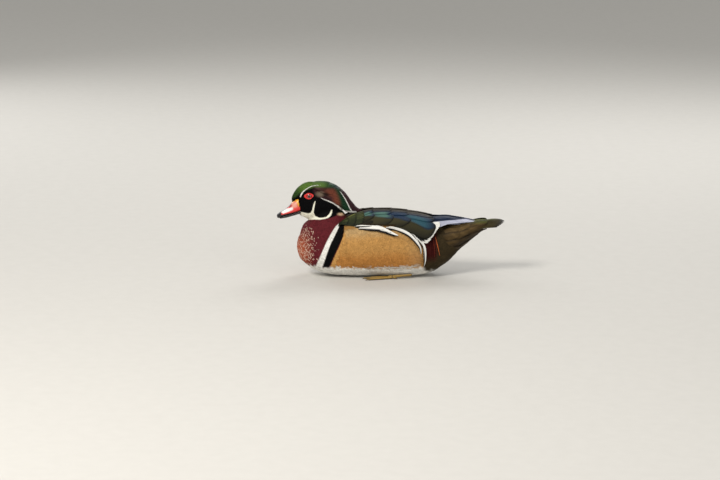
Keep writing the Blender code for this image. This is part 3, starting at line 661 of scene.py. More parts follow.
def blob(y, w, centre, reach):
    """1 in the middle of a soft oval patch, falling to 0 at its edge."""
    away = np.hypot((y - centre[0]) / reach[0], (w - centre[1]) / reach[1])
    return 1 - rise(away, 0.2, 1)


def plain(colour, count):
    """One colour for each of a count of points."""
    return np.tile(colour, (count, 1)).astype(float)


def laid(colours, *layers):
    """Colours with others laid over them in turn, each by a mask from 0 to 1."""
    for colour, mask in layers:
        colours = colours + (np.asarray(colour) - colours) * mask[:, None]
    return colours


def head_colours(points):
    """The face, the hood and their white lines, with painted sheen on the crown and behind the eye."""
    y, w = eye_view(points)
    over_eye = rise(w - on_line(y, HOOD_LOW_EDGE), -1, 2)
    # The crown's painted sheen: its green painted lighter in a band over the forehead and the top
    crown_sheen = blob(y, w, (-152, 164), (26, 18)) + 0.6 * blob(y, w, (-128, 168), (22, 9))
    crown = laid(
        plain(DEEP_GREEN, len(y)),
        (CROWN_GREEN, np.clip(0.35 + crown_sheen, 0, 1)),
        (DEEP_GREEN, rise(y, -130, -104)),
        (NAVY, 0.85 * rise(y, -110, -92) * rise(w, 148, 158)),
    )
    behind = (y - on_line(w, CREST_REAR)) / (1 + 9 * rise(w, 150, 162))
    return laid(
        plain(BLACK, len(y)),
        (PURPLE_BROWN, over_eye * rise(y, -146, -138)),
        (BROWN, blob(y, w, (-124, 157), (22, 11))),
        (RUST, 0.85 * blob(y, w, (-107, 154), (21, 13)) * over_eye),
        (RUST, 0.95 * blob(y, w, (-98, 140), (14, 20)) * over_eye),
        # A painted grey-beige sheen on the hood behind the eye
        (BEIGE_SHEEN, 0.7 * blob(y, w, (-130, 151), (12, 8))),
        (BLACK, 0.7 * blob(y, w, (-118.5, 150), (8, 7))),
        (DEEP_GREEN, rise(y - on_line(w, GREEN_REAR), -7, 4) * rise(w, 108, 116)),
        (crown, rise(w - on_line(y, CROWN_LOW_EDGE), -4, 3)),
        (PURPLE_BROWN, rise(behind, -0.5, 1)),
        (WHITE, near_line(y, w, BROW_LINE)),
        (WHITE, near_line(y, w, CREST_LOW_LINE)),
        (WHITE, near_line(y, w, CREST_TOP_LINE) * rise(np.abs(points[:, 0]), 2, 5)),
    )


def barred(y, w):
    """The two bars before the side pocket: the black one and the white one."""
    return inside(y, w, BLACK_BAR, 0.7), inside(y, w, WHITE_BAR, 0.7)


def plumage(points):
    """The colour of each point of the coat, from its place on the bird in millimetres."""
    y, w = eye_view(points)
    z = points[:, 2]
    breast = laid(plain(MAROON, len(y)), (RUSSET, fall(y, -168, -138) * fall(w, 48, 92)))
    end = on_line(y, FLANK_EDGE_BACK)
    pocket = rise(y - on_line(w, FLANK_EDGE_FRONT), -1, 0) * fall(z, 106, 112) * rise(end - z, -1, 1)
    rump = rise(z - end, -1, 1) * rise(y, 30, 40)
    waved = z + 1.5 * np.sin(0.35 * points[:, 0] + 0.5 * y) + np.sin(0.9 * y)
    belly = np.maximum(fall(waved, 19, 25) * fall(y, 56, 66), fall(waved, 11, 17) * fall(y, 60, 90))
    black_bar, white_bar = barred(y, w)
    return laid(
        head_colours(points),
        (CREAM, inside(y, w, THROAT, 0.35)),
        (breast, np.maximum(inside(y, w, NECK_TOP, 0.6), fall(w, 98, 100))),
        (OLIVE, rise(y, -84, -78) * fall(w, 108, 112)),
        (FLANK_GOLD, pocket),
        (RUMP_MAROON, np.maximum(rump, rise(y, 59, 61))),
        (OLIVE, rise(y, 58, 64) * fall(z, 26, 46)),
        (OLIVE, rise(y, 80, 88)),
        (OLIVE, rise(y, -88, -80) * rise(z, 98, 104) * fall(y, 70, 90)),
        (WHITE, belly),
        (PEACH, blob(y, w, (-92, 113.5), (9, 4))),
        (BLACK, black_bar),
        (WHITE, white_bar),
    )


def stored(mesh, name, kind, key, values):
    """Stores a value for each point of a mesh, in place of any of that name."""
    if name in mesh.attributes:
        mesh.attributes.remove(mesh.attributes[name])
    layer = mesh.attributes.new(name, kind, "POINT")
    layer.data.foreach_set(key, np.asarray(values, np.float32).ravel())


def painted(obj, colours, gloss=0.0):
    """Gives each point of a mesh its colour and gloss."""
    count = len(colours)
    stored(obj.data, "plumage", "FLOAT_COLOR", "color", np.column_stack([colours, np.ones(count)]))
    stored(obj.data, "gloss", "FLOAT", "value", np.broadcast_to(gloss, count))


def coat_gloss(points, colours):
    """Green and blue plumage shines; white, brown and black is dull."""
    y, w = eye_view(points)
    vivid = rise(colours[:, 1] - colours[:, 0], 0.0, 0.05)
    return np.clip(0.1 + 0.7 * vivid * rise(w, 100, 112), 0, 1)


def skin_finish():
    finish = Finish("down")
    down = finish.noise(finish.place, 900, 3)
    shaded = finish.mix(finish.carried("plumage"), (0, 0, 0), 0.35 + 0.3 * down)
    finish.set(Base_Color=shaded, Roughness=0.9, Specular_IOR_Level=0.06)
    finish.bump(down, 0.4, 0.0004)
    return finish.material


painted(skin, plumage(points_of(skin.data)))
skin.data.materials.append(skin_finish())


# The small feathers of the head, neck, breast and belly
# Thousands of soft rounded vanes, each rooted in the skin and lying along the flow of the coat,
# small and close on the face and longer towards the belly.

# The flow: y, seeming height, and the angle in degrees by which it falls towards the tail
FLOW = (
    (-183, 140, 15), (-176, 160, -35), (-160, 172, -12), (-150, 160, 5), (-150, 125, 30),
    (-110, 150, 35), (-100, 120, 55), (-120, 172, 8), (-100, 160, 45), (-150, 95, 75),
    (-165, 60, 75), (-130, 60, 55), (-160, 25, 40), (-130, 12, 12), (-100, 20, 5),
    (-95, 85, 60), (-85, 110, 30), (-60, 118, 8), (0, 110, 4), (0, 20, 2), (60, 60, 10),
    (60, 20, -8), (110, 40, -35), (110, 80, 0), (150, 90, -8),
)
# Coats: name, slot, spacing, length of a feather, how far its tip stands off, how high its
# vane is arched as a share of its length, and the grid of its vane
COATS = (
    ("head_coat", "head_feathers", 1.3, 4.2, 12, 0.09, (7, 4)),
    ("breast_coat", "breast_and_belly", 2.3, 8.0, 10, 0.08, (8, 5)),
    ("belly_coat", "breast_and_belly", 4.3, 15.0, 7, 0.05, (6, 4)),
    ("flank_coat", "flank_feathers", 3.0, 13.0, 4, 0.03, (7, 4)),
)
# How the length of a feather changes over a coat: with y on the head, with height on the breast
HEAD_GROWTH = ((-183, 0.62), (-160, 0.8), (-120, 1.1), (-90, 1.9))
BREAST_GROWTH = ((20, 1.35), (60, 1.1), (105, 0.8))
# The edges of the coats by y: the head's lower one, the wing's, and the side pocket's front top
HEAD_COAT_EDGE = ((-180, 101), (-140, 101), (-121, 102), (-108, 106), (-92, 112), (-70, 116))
WING_EDGE = ((-88, 95), (-60, 95), (15, 92), (40, 82), (66, 64), (100, 96))
POCKET_TOP = ((-84, 91.5), (-74, 95))
# No point of a coat lies lower than this
LOWEST = 0.3
# A vane is made a metre long, so that its scale is its length, and this share of that wide
VANE_LENGTH = 1000
VANE_WIDTH = 0.66
# How far a feather turns to either side of the flow, in radians, how much of that it rolls as
# well, and between which shares its length varies
SWAY = 0.16
ROLL_SHARE = 0.35
LENGTH_SHARES = (0.85, 1.15)
# How dense the roots may lie, in a square metre, and how far along a feather its marking is read
DENSEST = 4e6
READ_SHARE = 0.96
# The seeds of the roots' places and of the feathers' shades
COAT_SEED = 11
SHADE_SEED = 7
# The middle of the body's height by y, and the margin and patch of a feather on the OFBake map
BODY_MIDDLE = ((-180, 140), (-120, 120), (-60, 60), (200, 70))
BODY_ENDS = (-215, 215)
MAP_MARGIN = 0.02
MAP_PATCH = 0.003


def vane_shape(along):
    """A small feather's width along it: narrow at the root and round at the tip."""
    return np.clip(0.34 + 1.5 * along, 0, 1) * np.sqrt(np.maximum(1 - along**3.6, 0.02))


def vane_mesh(name, rows, columns, arch):
    """One feather along Y at its full length, arched across and drooping to its tip."""
    along, across = np.meshgrid(np.linspace(0, 1, rows), np.linspace(-1, 1, columns), indexing="ij")
    x = across * VANE_WIDTH / 2 * vane_shape(along)
    y = along - 0.1 * across**2 * along**2
    z = arch * (1 - across**2) * vane_shape(along) - 0.09 * along**2
    points = np.stack([x, y - 0.12, z], axis=-1).reshape(-1, 3) * VANE_LENGTH
    uvs = np.stack([0.5 + 0.5 * across, along], axis=-1).reshape(-1, 2)
    return mesh_object(name, points, grid_faces(rows, columns), uvs)


def coat_tree():
    """Roots spaced evenly over the skin, a vane on each, laid along the flow and tilted up."""
    tree = bpy.data.node_groups.new("coat", "GeometryNodeTree")
    sockets = {}
    for name, kind in (
        ("Skin", "Geometry"), ("Vane", "Object"), ("Spacing", "Float"), ("Tilt", "Float"),
        ("Seed", "Int"), ("Finish", "Material"),
    ):
        made = tree.interface.new_socket(name, in_out="INPUT", socket_type="NodeSocket" + kind)
        sockets[name] = made.identifier
    tree.interface.new_socket("Coat", in_out="OUTPUT", socket_type="NodeSocketGeometry")
    build = Tree(tree)
    given = build.node("NodeGroupInput")

    def carried(name, kind):
        values = {"Name": name}
        return build.node("GeometryNodeInputNamedAttribute", {"data_type": kind}, values)("Attribute")

    def chance(low, high, seed):
        values = {"Min_001": low, "Max_001": high, "Seed": seed}
        return build.node("FunctionNodeRandomValue", {"data_type": "FLOAT"}, values)("Value_001")

    def aligned(settings, values):
        return build.node("FunctionNodeAlignRotationToVector", settings, values)("Rotation")

    scatter = build.node(
        "GeometryNodeDistributePointsOnFaces",
        {"distribute_method": "POISSON"},
        {
            "Mesh": given("Skin"), "Distance Min": given("Spacing"), "Density Max": DENSEST,
            "Density Factor": carried("cover", "FLOAT"), "Seed": given("Seed"),
        },
    )
    upright = aligned({"axis": "Z"}, {"Vector": scatter("Normal")})
    lie = carried("lie", "FLOAT_VECTOR")
    along = aligned({"axis": "Y", "pivot_axis": "Z"}, {"Rotation": upright, "Vector": lie})
    sway = chance(-SWAY, SWAY, 3)
    turn = {"X": given("Tilt"), "Y": sway * ROLL_SHARE, "Z": sway}
    turn = build.node("ShaderNodeCombineXYZ", {}, turn)("Vector")
    by = build.node("FunctionNodeEulerToRotation", {}, {"Euler": turn})("Rotation")
    rotation = build.node(
        "FunctionNodeRotateRotation", {"rotation_space": "LOCAL"}, {"Rotation": along, "Rotate By": by}
    )("Rotation")
    place = build.node("GeometryNodeInputPosition")("Position")
    rooted = build.node(
        "GeometryNodeStoreNamedAttribute", {"data_type": "FLOAT_VECTOR", "domain": "POINT"},
        {"Geometry": scatter("Points"), "Name": "root", "Value": place},
    )("Geometry")
    vane = build.node("GeometryNodeObjectInfo", {}, {"Object": given("Vane")})("Geometry")
    length = carried("reach", "FLOAT") * chance(*LENGTH_SHARES, 5)
    feathers = build.node(
        "GeometryNodeInstanceOnPoints", {},
        {"Points": rooted, "Instance": vane, "Rotation": rotation, "Scale": length},
    )("Instances")
    whole = build.node("GeometryNodeRealizeInstances", {}, {"Geometry": feathers})("Geometry")
    finished = {"Geometry": whole, "Material": given("Finish")}
    finished = build.node("GeometryNodeSetMaterial", {}, finished)("Geometry")
    build.node("NodeGroupOutput", {}, {"Coat": finished})
    return tree, sockets


def lie_directions(mesh, points):
    """The flow of the coat at each point, laid into the skin."""
    spots = np.array(FLOW, float)
    angles = np.radians(spots[:, 2])
    y, w = eye_view(points)
    away = (y[:, None] - spots[:, 0]) ** 2 + (w[:, None] - spots[:, 1]) ** 2
    weights = 1 / (away + 60) ** 1.6
    weights /= weights.sum(1, keepdims=True)
    back, down = weights @ np.cos(angles), weights @ np.sin(angles)
    flow = np.column_stack([np.zeros(len(points)), back, -down])
    normals = fetched(mesh.vertex_normals, "vector", 3)
    flow -= normals * np.sum(flow * normals, axis=1, keepdims=True)
    return flow / np.maximum(np.linalg.norm(flow, axis=1, keepdims=True), 1e-6)


def bake_map(mesh, roots):
    """The OFBake map: each feather a small patch at its root's place on the unrolled skin."""
    x, y, z = roots.T
    turn = np.arctan2(z - on_line(y, BODY_MIDDLE), x) / (2 * math.pi) + 0.5
    along = (y - BODY_ENDS[0]) / (BODY_ENDS[1] - BODY_ENDS[0])
    centre = MAP_MARGIN + (1 - 2 * MAP_MARGIN) * np.column_stack([along, turn])
    corners = fetched(mesh.loops, "vertex_index", kind=np.int32)
    vane = fetched(mesh.uv_layers["vane"].data, "uv", 2)
    patch = centre[corners] + (vane - 0.5) * MAP_PATCH
    layer = mesh.uv_layers.new(name="OFBake")
    layer.data.foreach_set("uv", patch.astype(np.float32).ravel())


def feather_finish(name, barbs, depth=0.22, rough=0.62, shine=0.5, waves=0.0, mirror=0.2):
    """Plumage: the coat's own colours with barbs, a quill line, a painted shade over each feather's root,
    and the gloss of its structure.
    """
    finish = Finish(name)
    gloss = finish.carried("gloss", "Fac")
    uv = finish.node("ShaderNodeUVMap", {"uv_map": "vane"})("UV")
    split = finish.node("ShaderNodeSeparateXYZ", {}, {"Vector": uv})
    across, along = abs(split("X") - 0.5) * 2, split("Y")
    grain = finish.noise(finish.place, 700)
    barb = ((along * barbs - across * 1.6 + grain * 1.2) * 2 * math.pi).sine()
    quill = 1 - across.step(0.02, 0.1)
    # Painted shade: the last term darkens each feather towards its root, where the feathers over it shade
    # it
    shade = depth * (0.5 + 0.5 * barb) * (1 - quill) + 0.25 * quill + 0.3 * (1 - along.step(0.0, 0.55))
    shaded = finish.mix(finish.carried("plumage"), (0, 0, 0), shade)
    if waves:
        ripple = along * waves + across * 0.7 + finish.noise(finish.place, 420) * 3.2
        ripple = (ripple * 2 * math.pi).sine()
        shaded = finish.mix(shaded, tone(70, 50, 28), 0.26 * ripple.step(0.25, 0.9))
    finish.set(
        Base_Color=shaded, Roughness=rough - 0.34 * gloss + 0.08 * grain, Metallic=shine * gloss,
        Specular_IOR_Level=mirror,
    )
    finish.bump(barb * 0.5 + quill, 0.35, 0.0002)
    return finish.material


def coat_regions(points):
    """Where each of the four coats grows, from 0 to 1, in the order of COATS."""
    y, w = eye_view(points)
    x, z = np.abs(points[:, 0]), points[:, 2]
    head = (y < -66) & (w > on_line(y, HEAD_COAT_EDGE))
    wing = (z > on_line(y, WING_EDGE)) & (y > -80) & (x > 22)
    front = on_line(w, FLANK_EDGE_FRONT)
    top = np.minimum(on_line(y + 7, FLANK_EDGE_BACK), on_line(y, POCKET_TOP))
    flank = (y > front) & (z < top) & (z > 21) & (x > 20) & ~wing & ~head
    breast = ~head & ~flank & ~wing & (y < np.maximum(front, -86)) & (z > 12)
    head &= inside(y, w, BILL_BASE, 0.1) < 0.5
    under_wing = (x > 20) & (z > 60) & (y < 30)
    belly = ~(head | flank | wing | breast | under_wing) & (y < 120)
    return [region.astype(float) for region in (head, breast, belly, flank)]


def flecked(colours, roots, chance, rows, columns):
    """A pale fleck on the tip of some feathers over the front of the breast."""
    y, w = eye_view(roots)
    spot = np.arange(len(colours)) % (rows * columns)
    along, across = spot // columns / (rows - 1), np.abs(2 * (spot % columns) / (columns - 1) - 1)
    shown = chance < 0.64 * fall(y, -152, -133) * rise(w, 20, 40) * fall(w, 84, 98)
    return laid(colours, (FLECK, shown * (along > 0.7) * (across < 0.4)))


def pocket_gold(roots):
    """The side pocket's gold: greyer along its top and rear, browner low down, and white below."""
    y, w = eye_view(roots)
    return laid(
        plain(FLANK_GOLD, len(y)),
        (FLANK_GREY, 0.55 * rise(w, 62, 90)),
        (FLANK_ORANGE, 0.7 * fall(w, 28, 50)),
        (FLANK_GREY, 0.3 * rise(y, 10, 60)),
        (WHITE, fall(roots[:, 2], 21, 27)),
    )


def coat_colours(name, roots, read, chance, grid):
    """The markings on a coat, a little lighter or darker from feather to feather."""
    marked = plumage(read)
    if name == "flank_coat":
        y, w = eye_view(read)
        beyond = rise(read[:, 2] - on_line(y, FLANK_EDGE_BACK), -1, 1)
        gold = pocket_gold(roots) * (0.88 + 0.24 * chance[:, None])
        return laid(gold, (marked, np.maximum(np.maximum(*barred(y, w)), beyond)))
    colours = marked * (0.86 + 0.28 * chance[:, None])
    return flecked(colours, roots, chance, *grid) if name == "breast_coat" else colours


def grow_coats():
    tree, sockets = coat_tree()
    points = points_of(skin.data)
    y, w = eye_view(points)
    growths = {"head_coat": on_line(y, HEAD_GROWTH), "breast_coat": on_line(w, BREAST_GROWTH)}
    stored(skin.data, "lie", "FLOAT_VECTOR", "vector", lie_directions(skin.data, points))
    for (name, slot, spacing, length, tilt, arch, grid), cover in zip(COATS, coat_regions(points)):
        growth = growths.get(name, np.ones(len(points)))
        stored(skin.data, "cover", "FLOAT", "value", cover)
        stored(skin.data, "reach", "FLOAT", "value", growth * length * MM)
        vane = vane_mesh(name + "_vane", *grid, arch)
        finish = feather_finish(name, barbs=5, waves=4.0 if name == "flank_coat" else 0, mirror=0.06)
        coat = linked(name, skin.data.copy())
        growing = coat.modifiers.new("growth", "NODES")
        growing.node_group = tree
        for socket, value in (
            ("Vane", vane), ("Spacing", spacing * MM), ("Tilt", math.radians(tilt)),
            ("Seed", COAT_SEED), ("Finish", finish),
        ):
            growing[sockets[socket]] = value
        applied(coat)
        bpy.data.objects.remove(vane)
        place = points_of(coat.data)
        place[:, 2] = np.maximum(place[:, 2], LOWEST)
        moved(coat.data, place)
        roots = fetched(coat.data.attributes["root"].data, "vector", 3) / MM
        size = math.prod(grid)
        chance = np.repeat(np.random.default_rng(SHADE_SEED).random(len(place) // size), size)
        read = roots + READ_SHARE * (place - roots)
        colours = coat_colours(name, roots, read, chance, grid)
        painted(coat, np.clip(colours, 0, 1), coat_gloss(read, colours))
        bake_map(coat.data, roots)
        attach(coat, "root")


grow_coats()
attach(skin, "root")
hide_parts("torso", "neck", "head")


# The folded wings
# Each wing is tucked against the side: rows of broad bronze and blue-green feathers from the
# shoulder back, each lying over the root of the next, and the white-tipped secondaries behind.
# The shoulder's glints and the lighter teal and steel on the feathers' upper parts are painted sheen.
WING_FRONT = -94
WING_BACK = ((0, 84), (0.35, 90), (0.6, 91), (0.85, 80), (1, 67))
WING_LOWER_EDGE = ((-94, 105), (-60, 102.5), (-20, 100), (15, 96), (40, 87.5), (67, 69), (91, 88))
# How far from the middle of the back the wing's feathers start, as y and distance
WING_TOP_SIDE = ((-94, 32), (-80, 27), (-60, 19), (-40, 10))
# Rows from the rear forward: root and tip along the wing, then each feather's place down the
# side, and the feathers' widths
WING_ROWS = (
    (0.64, 1.0, (0.42, 0.52, 0.62, 0.71, 0.79, 0.86, 0.93, 0.98), (13, 14, 14, 13, 12, 10, 8, 6)),
    (0.44, 0.955, (0.06, 0.22, 0.6), (22, 24, 46)),
    (0.32, 0.70, (0.05, 0.2, 0.95, 0.58), (20, 22, 16, 44)),
    (0.20, 0.535, (0.05, 0.2, 0.94, 0.58), (20, 20, 18, 42)),
    (0.10, 0.345, (0.05, 0.18, 0.93, 0.76, 0.5), (18, 18, 18, 20, 32)),
    (0.04, 0.25, (0.06, 0.18, 0.3, 0.42, 0.54, 0.66, 0.78, 0.92), (13,) * 7 + (12,)),
    (0.0, 0.17, (0.08, 0.2, 0.32, 0.44, 0.56, 0.68, 0.8, 0.93), (11,) * 8),
    (-0.02, 0.09, (0.12, 0.26, 0.4, 0.54, 0.68, 0.82, 0.93), (10,) * 6 + (9,)),
)
# A feather wider than this is one of the broad ones, and from this row on it is a shoulder feather
BROAD = 30
SHOULDER_ROW = 5
WING_SEED = 21
VANE_THICKNESS = 0.35
BLUNTNESS = 0.12
SIDES = ((1, "left"), (-1, "right"))


def wing_spans(u, v):
    """The folded wing's own grid: u runs to its rear edge, v from the back down its side."""
    y = between(WING_FRONT, table_curve(WING_BACK)(v), u)
    top = WINGS.angle_at_side(y, table_curve(WING_TOP_SIDE)(y))
    low = WINGS.angle_at_height(y, table_curve(WING_LOWER_EDGE)(y))
    return y, between(top, low, v)


def wing_place(root, tip, v, slant):
    """The place of a wing feather; a slanted tip reaches further back along its upper edge."""

    def place(along, across, lift):
        y, angle = wing_spans(between(root, tip, along), v)
        y = y - slant * across * along
        return WINGS.at(y, angle - across / WINGS.arc(y, angle), lift)

    return place


def lie_on(form, root, tip, turn):
    """The place of a feather that lies on a form from one y and angle to another."""

    def place(along, across, lift):
        y, angle = between(root[0], tip[0], along), between(root[1], tip[1], along)
        return form.at(y, angle + turn * across / form.arc(y, angle), lift)

    return place


def raised(place, by):
    return lambda along, across, lift: place(along, across, lift + by)


class Plumes:
    """A growing set of long feathers, each a thin closed vane with its own colours."""

    def __init__(self):
        self.points, self.uvs, self.colours, self.gloss, self.roots = [], [], [], [], []
        self.faces = []
        self.count = 0

    def add(self, place, width, colour, sink, stand, tilt, gloss, rows=14, columns=9,
            root=0.5, tip=4.0):
        """place gives a point for a share of the length, a distance across and a lift.

        sink is the root's depth, stand the tip's height, tilt the rise from edge to edge, root
        the share of the width at the root, and a higher tip is a squarer one.
        """
        u, v = np.meshgrid(np.linspace(0, 1, rows), np.linspace(-1, 1, columns), indexing="ij")
        along = 1 - (1 - u) ** 1.6
        round_tip = np.sqrt(np.maximum(1 - along**tip, BLUNTNESS**2))
        share = between(root, 1, np.minimum(1, 2.4 * along)) * round_tip
        lift = stand * along - sink * (1 - along) ** 4 + tilt * share * v / 2
        lift = lift + 0.35 * np.exp(-(v * 5) ** 2) - 0.25 * v * v * share
        size = rows * columns
        for side in (1, -1):
            grid = place(along, v * width / 2 * share, lift + side * VANE_THICKNESS / 2)
            points = grid.reshape(-1, 3)
            self.points.append(points)
            self.uvs.append(np.stack([0.5 + 0.5 * v, along], axis=-1).reshape(-1, 2))
            self.roots.append(np.tile(grid[0, columns // 2], (size, 1)))
            self.colours.append(colour(along.ravel(), v.ravel(), points))
            self.gloss.append(np.full(size, gloss))
        self.faces += plate_faces(rows, columns, self.count)
        self.count += 2 * size

    def made(self, name, finish, side=1):
        """The set as one object, on the left side or mirrored to the right."""
        mirror = (side, 1, 1)
        faces = self.faces if side > 0 else [f[::-1] for f in self.faces]
        points = np.concatenate(self.points) * mirror
        obj = mesh_object(name, points, faces, np.concatenate(self.uvs))
        painted(obj, np.clip(np.concatenate(self.colours), 0, 1), np.concatenate(self.gloss))
        bake_map(obj.data, np.concatenate(self.roots) * mirror)
        obj.data.materials.append(finish)
        return obj


def shades(base, *layers):
    """A colour function from layers, each a colour and a mask of along, across and place."""

    def colour(along, across, place):
        drawn = ((tint, np.clip(mask(along, across, place), 0, 1)) for tint, mask in layers)
        return laid(plain(base, len(along)), *drawn)

    return colour


def tipped(tint, share, first, last=1):
    """A layer over the tip of a feather, from one share of its length to another."""
    return tint, lambda a, c, p: share * rise(a, first, last)


def dimmed(colour, share):
    return tuple(np.array(colour) * share)


# The first and third colours are the lighter tones of a painted sheen on the wing's feathers
TEAL_SHEEN = tone(76, 110, 100)
BLUE = tone(26, 46, 70)
STEEL_SHEEN = tone(46, 82, 94)
WING_OLIVE = tone(58, 54, 34)
WING_BROWN = tone(46, 38, 24)
WING_DARK = tone(18, 19, 17)
BRONZE_GREEN = tone(50, 56, 34)
# A painted glint of light on the shoulder feathers
GLINT = tone(122, 124, 62)
# How far the tips of the broad feathers slant back in some rows
WING_SLANTS = {2: 0.55, 3: 0.25, 4: 0.3}


def wing_colour(row, v, chance):
    """A feather of the wing: bronze with painted glints near the shoulder, and further back a teal or
    blue upper part, lit by a painted sheen.
    """
    if row >= SHOULDER_ROW:
        # Painted glints: yellow-green highlights on the upper shoulder feathers, brighter on some than on
        # others
        glint = (0.2 + 0.8 * (chance > 0.4)) * fall(v, 0.4, 0.8)
        dark = 0.5 * rise(v, 0.6, 0.9)
        return shades(
            dimmed(BRONZE_GREEN, 0.6 + 0.7 * chance),
            (GLINT, lambda a, c, p: glint * rise(a, 0.4, 0.75) * fall(c, -0.5, 0.4)),
            (WING_DARK, lambda a, c, p: dark + 0.85 * rise(a, 0.88, 1)),
        )
    # The sheen is painted light: each feather's upper part is made lighter teal, steel or blue
    sheen = {1: STEEL_SHEEN, 2: BLUE}.get(row, TEAL_SHEEN)

    def amid(a):
        return rise(a, 0.3, 0.6) * fall(a, 0.75, 0.95)

    if v < 0.15:
        return shades(
            WING_BROWN,
            (BLUE, lambda a, c, p: 0.5 * rise(c, 0, 0.6)),
            tipped(WING_DARK, 1, 0.9),
        )
    if v < 0.35:
        return shades(
            WING_DARK,
            (BLUE, lambda a, c, p: rise(c, -0.5, -0.1) * rise(a, 0.2, 0.6)),
            (sheen, lambda a, c, p: rise(c, -0.1, 0.3) * amid(a)),
            tipped(WING_DARK, 0.9, 0.9),
        )
    if v > 0.7:
        return shades(WING_OLIVE, (WING_DARK, lambda a, c, p: 0.8 * rise(c + a, 0.4, 1.2)))
    return shades(
        dimmed(WING_OLIVE, 0.85 + 0.3 * chance),
        (WING_DARK, lambda a, c, p: 0.75 * rise(c + 0.6 * a, 0.5, 1.5)),
        (BLUE, lambda a, c, p: 0.85 * rise(0.9 * (a - 0.72) - c, -0.06, 0.14) * rise(a, 0.2, 0.5)),
        (sheen, lambda a, c, p: rise(0.3 * (a - 0.7) - c, 0.02, 0.2) * amid(a)),
        tipped(WING_DARK, 0.9, 0.92),
    )


def make_wing():
    wing = Plumes()
    picks = np.random.default_rng(WING_SEED)
    for row, (root, tip, places, widths) in enumerate(WING_ROWS):
        for v, width in zip(places, widths):
            chance = picks.random()
            broad = width > BROAD
            place = wing_place(root, tip, v, WING_SLANTS.get(row, 0) if broad else 0)
            if row == 0:
                place, stand = raised(place, -2.4), 0.4
                colour = shades(WING_DARK, tipped(WHITE, 1, 0.8, 0.83))
            else:
                place, stand = raised(place, -2.0), 1.3
                colour = wing_colour(row, v, chance)
            wing.add(
                place, width, colour, sink=2.4, stand=stand, tilt=1.6 if broad else 1.1,
                gloss=0.35 if 0 < row < SHOULDER_ROW else 0.25, tip=6 if row == 1 else 4.5,
                columns=11 if broad else 9,
            )
    return wing


wing_finish = feather_finish("wing_feathers", barbs=30, depth=0.16, shine=0.12, mirror=0.12)
wing_set = make_wing()
for side, name in SIDES:
    wing = wing_set.made("wing_plumage_" + name, wing_finish, side)
    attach(wing, "root")
    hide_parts("wing_" + name)


# The flight feathers
# The folded hand of the wing: long navy primaries stacked over the rump, each lower one
# reaching further back, with silvery outer edges.
HAND_FEATHERS = 10
HAND_TIPS = (112, 156)
# Roots from the top feather to the lowest: y and distance from the middle; then the tips' distance
HAND_ROOTS = ((74, 79), (14, 40))
HAND_TIP_SIDES = (10, 8.5)
HAND_WIDTHS = (16, 10)
SILVER = tone(206, 208, 226)
SILVER_SHADE = tone(132, 136, 164)
PRIMARY_NAVY = tone(26, 40, 64)
# The silvery part's upper edge: a y, its height there, and how much it climbs for each millimetre
SILVER_START = 88
SILVER_TOP = 100
SILVER_RISE = 0.09
# The feathers folded in below them, which fill the hand down to the rump: how deep each lies,
# and how far out it starts and ends
HAND_LINING = ((-3, 20, 9), (-5.5, 19, 8.5), (-8, 18, 8), (-11, 17, 7.5))
LINING_ENDS = (68, 147)
LINING_WIDTH = 17


def silvered(place):
    """Where a flight feather is silvery: along the lower edge of the folded hand."""
    y, w = eye_view(place)
    return rise(SILVER_TOP + SILVER_RISE * (y - SILVER_START) - w, -0.6, 0.6)


def make_hand():
    hand = Plumes()
    colour = shades(
        PRIMARY_NAVY,
        (SILVER, lambda a, c, p: silvered(p)),
        (SILVER_SHADE, lambda a, c, p: 0.7 * silvered(p) * rise(-c, 0.3, 0.9)),
        (SILVER_SHADE, lambda a, c, p: 0.5 * silvered(p) * rise(np.sin(14 * c + 9 * a), 0.2, 0.9)),
    )

    def add(ends, sides, depth, width):
        first, last = ((y, WINGS.angle_at_side(y, x)) for y, x in zip(ends, sides))
        place = raised(lie_on(WINGS, first, last, -1), depth)
        hand.add(place, width, colour, sink=1.5, stand=0.5, tilt=0, gloss=0.3, tip=5)

    for depth, *sides in HAND_LINING:
        add(LINING_ENDS, sides, depth, LINING_WIDTH)
    for k in range(HAND_FEATHERS):
        share = k / (HAND_FEATHERS - 1)
        root, root_side = (between(*ends, share) for ends in HAND_ROOTS)
        ends = root, between(*HAND_TIPS, share)
        sides = root_side, between(*HAND_TIP_SIDES, share)
        add(ends, sides, -0.8 - 0.3 * k, between(*HAND_WIDTHS, share))
    return hand


hand_finish = feather_finish("flight_feathers", barbs=40, depth=0.15, rough=0.55, shine=0.1, mirror=0.15)
hand_set = make_hand()
for side, name in SIDES:
    hand = hand_set.made("flight_feathers_" + name, hand_finish, side)
    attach(hand, "root")
    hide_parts("primaries_" + name)


# The flanks' barred plumes
# Long white feathers edged with black, which end the golden side pocket along its top and rear
# and lie over the lower edge of the folded wing.

# The line that they follow, as y and height, and each one's start and end along it as shares of
# its length, its width, and how far its tip swings in from the line
PLUME_LINE = (
    (-72, 98.4), (-55, 99.6), (-27, 100.8), (-1, 99), (19, 95.3), (35, 90), (45, 84), (55, 75.2),
    (62, 66.6), (65, 58.4), (66, 46.6), (66, 38), (64, 26),
)
PLUMES = (
    (0.02, 0.2, 3, 1.5), (0.06, 0.32, 9, 4), (0.13, 0.4, 9, 6.5), (0.18, 0.48, 9, 9.5),
    (0.56, 0.86, 3, 10), (0.31, 0.87, 7, 7), (0.62, 0.93, 3.4, 3.6), (0.58, 1.0, 6.4, 0),
)
# How much further out each plume lies than the one before it
PLUME_STEP = 0.12
# How far the plumes stand off the flank, by share of the line's length
PLUME_STANDS = ((0, 5.6), (0.2, 6.8), (0.5, 6.2), (0.8, 4.4), (1, 3.0))


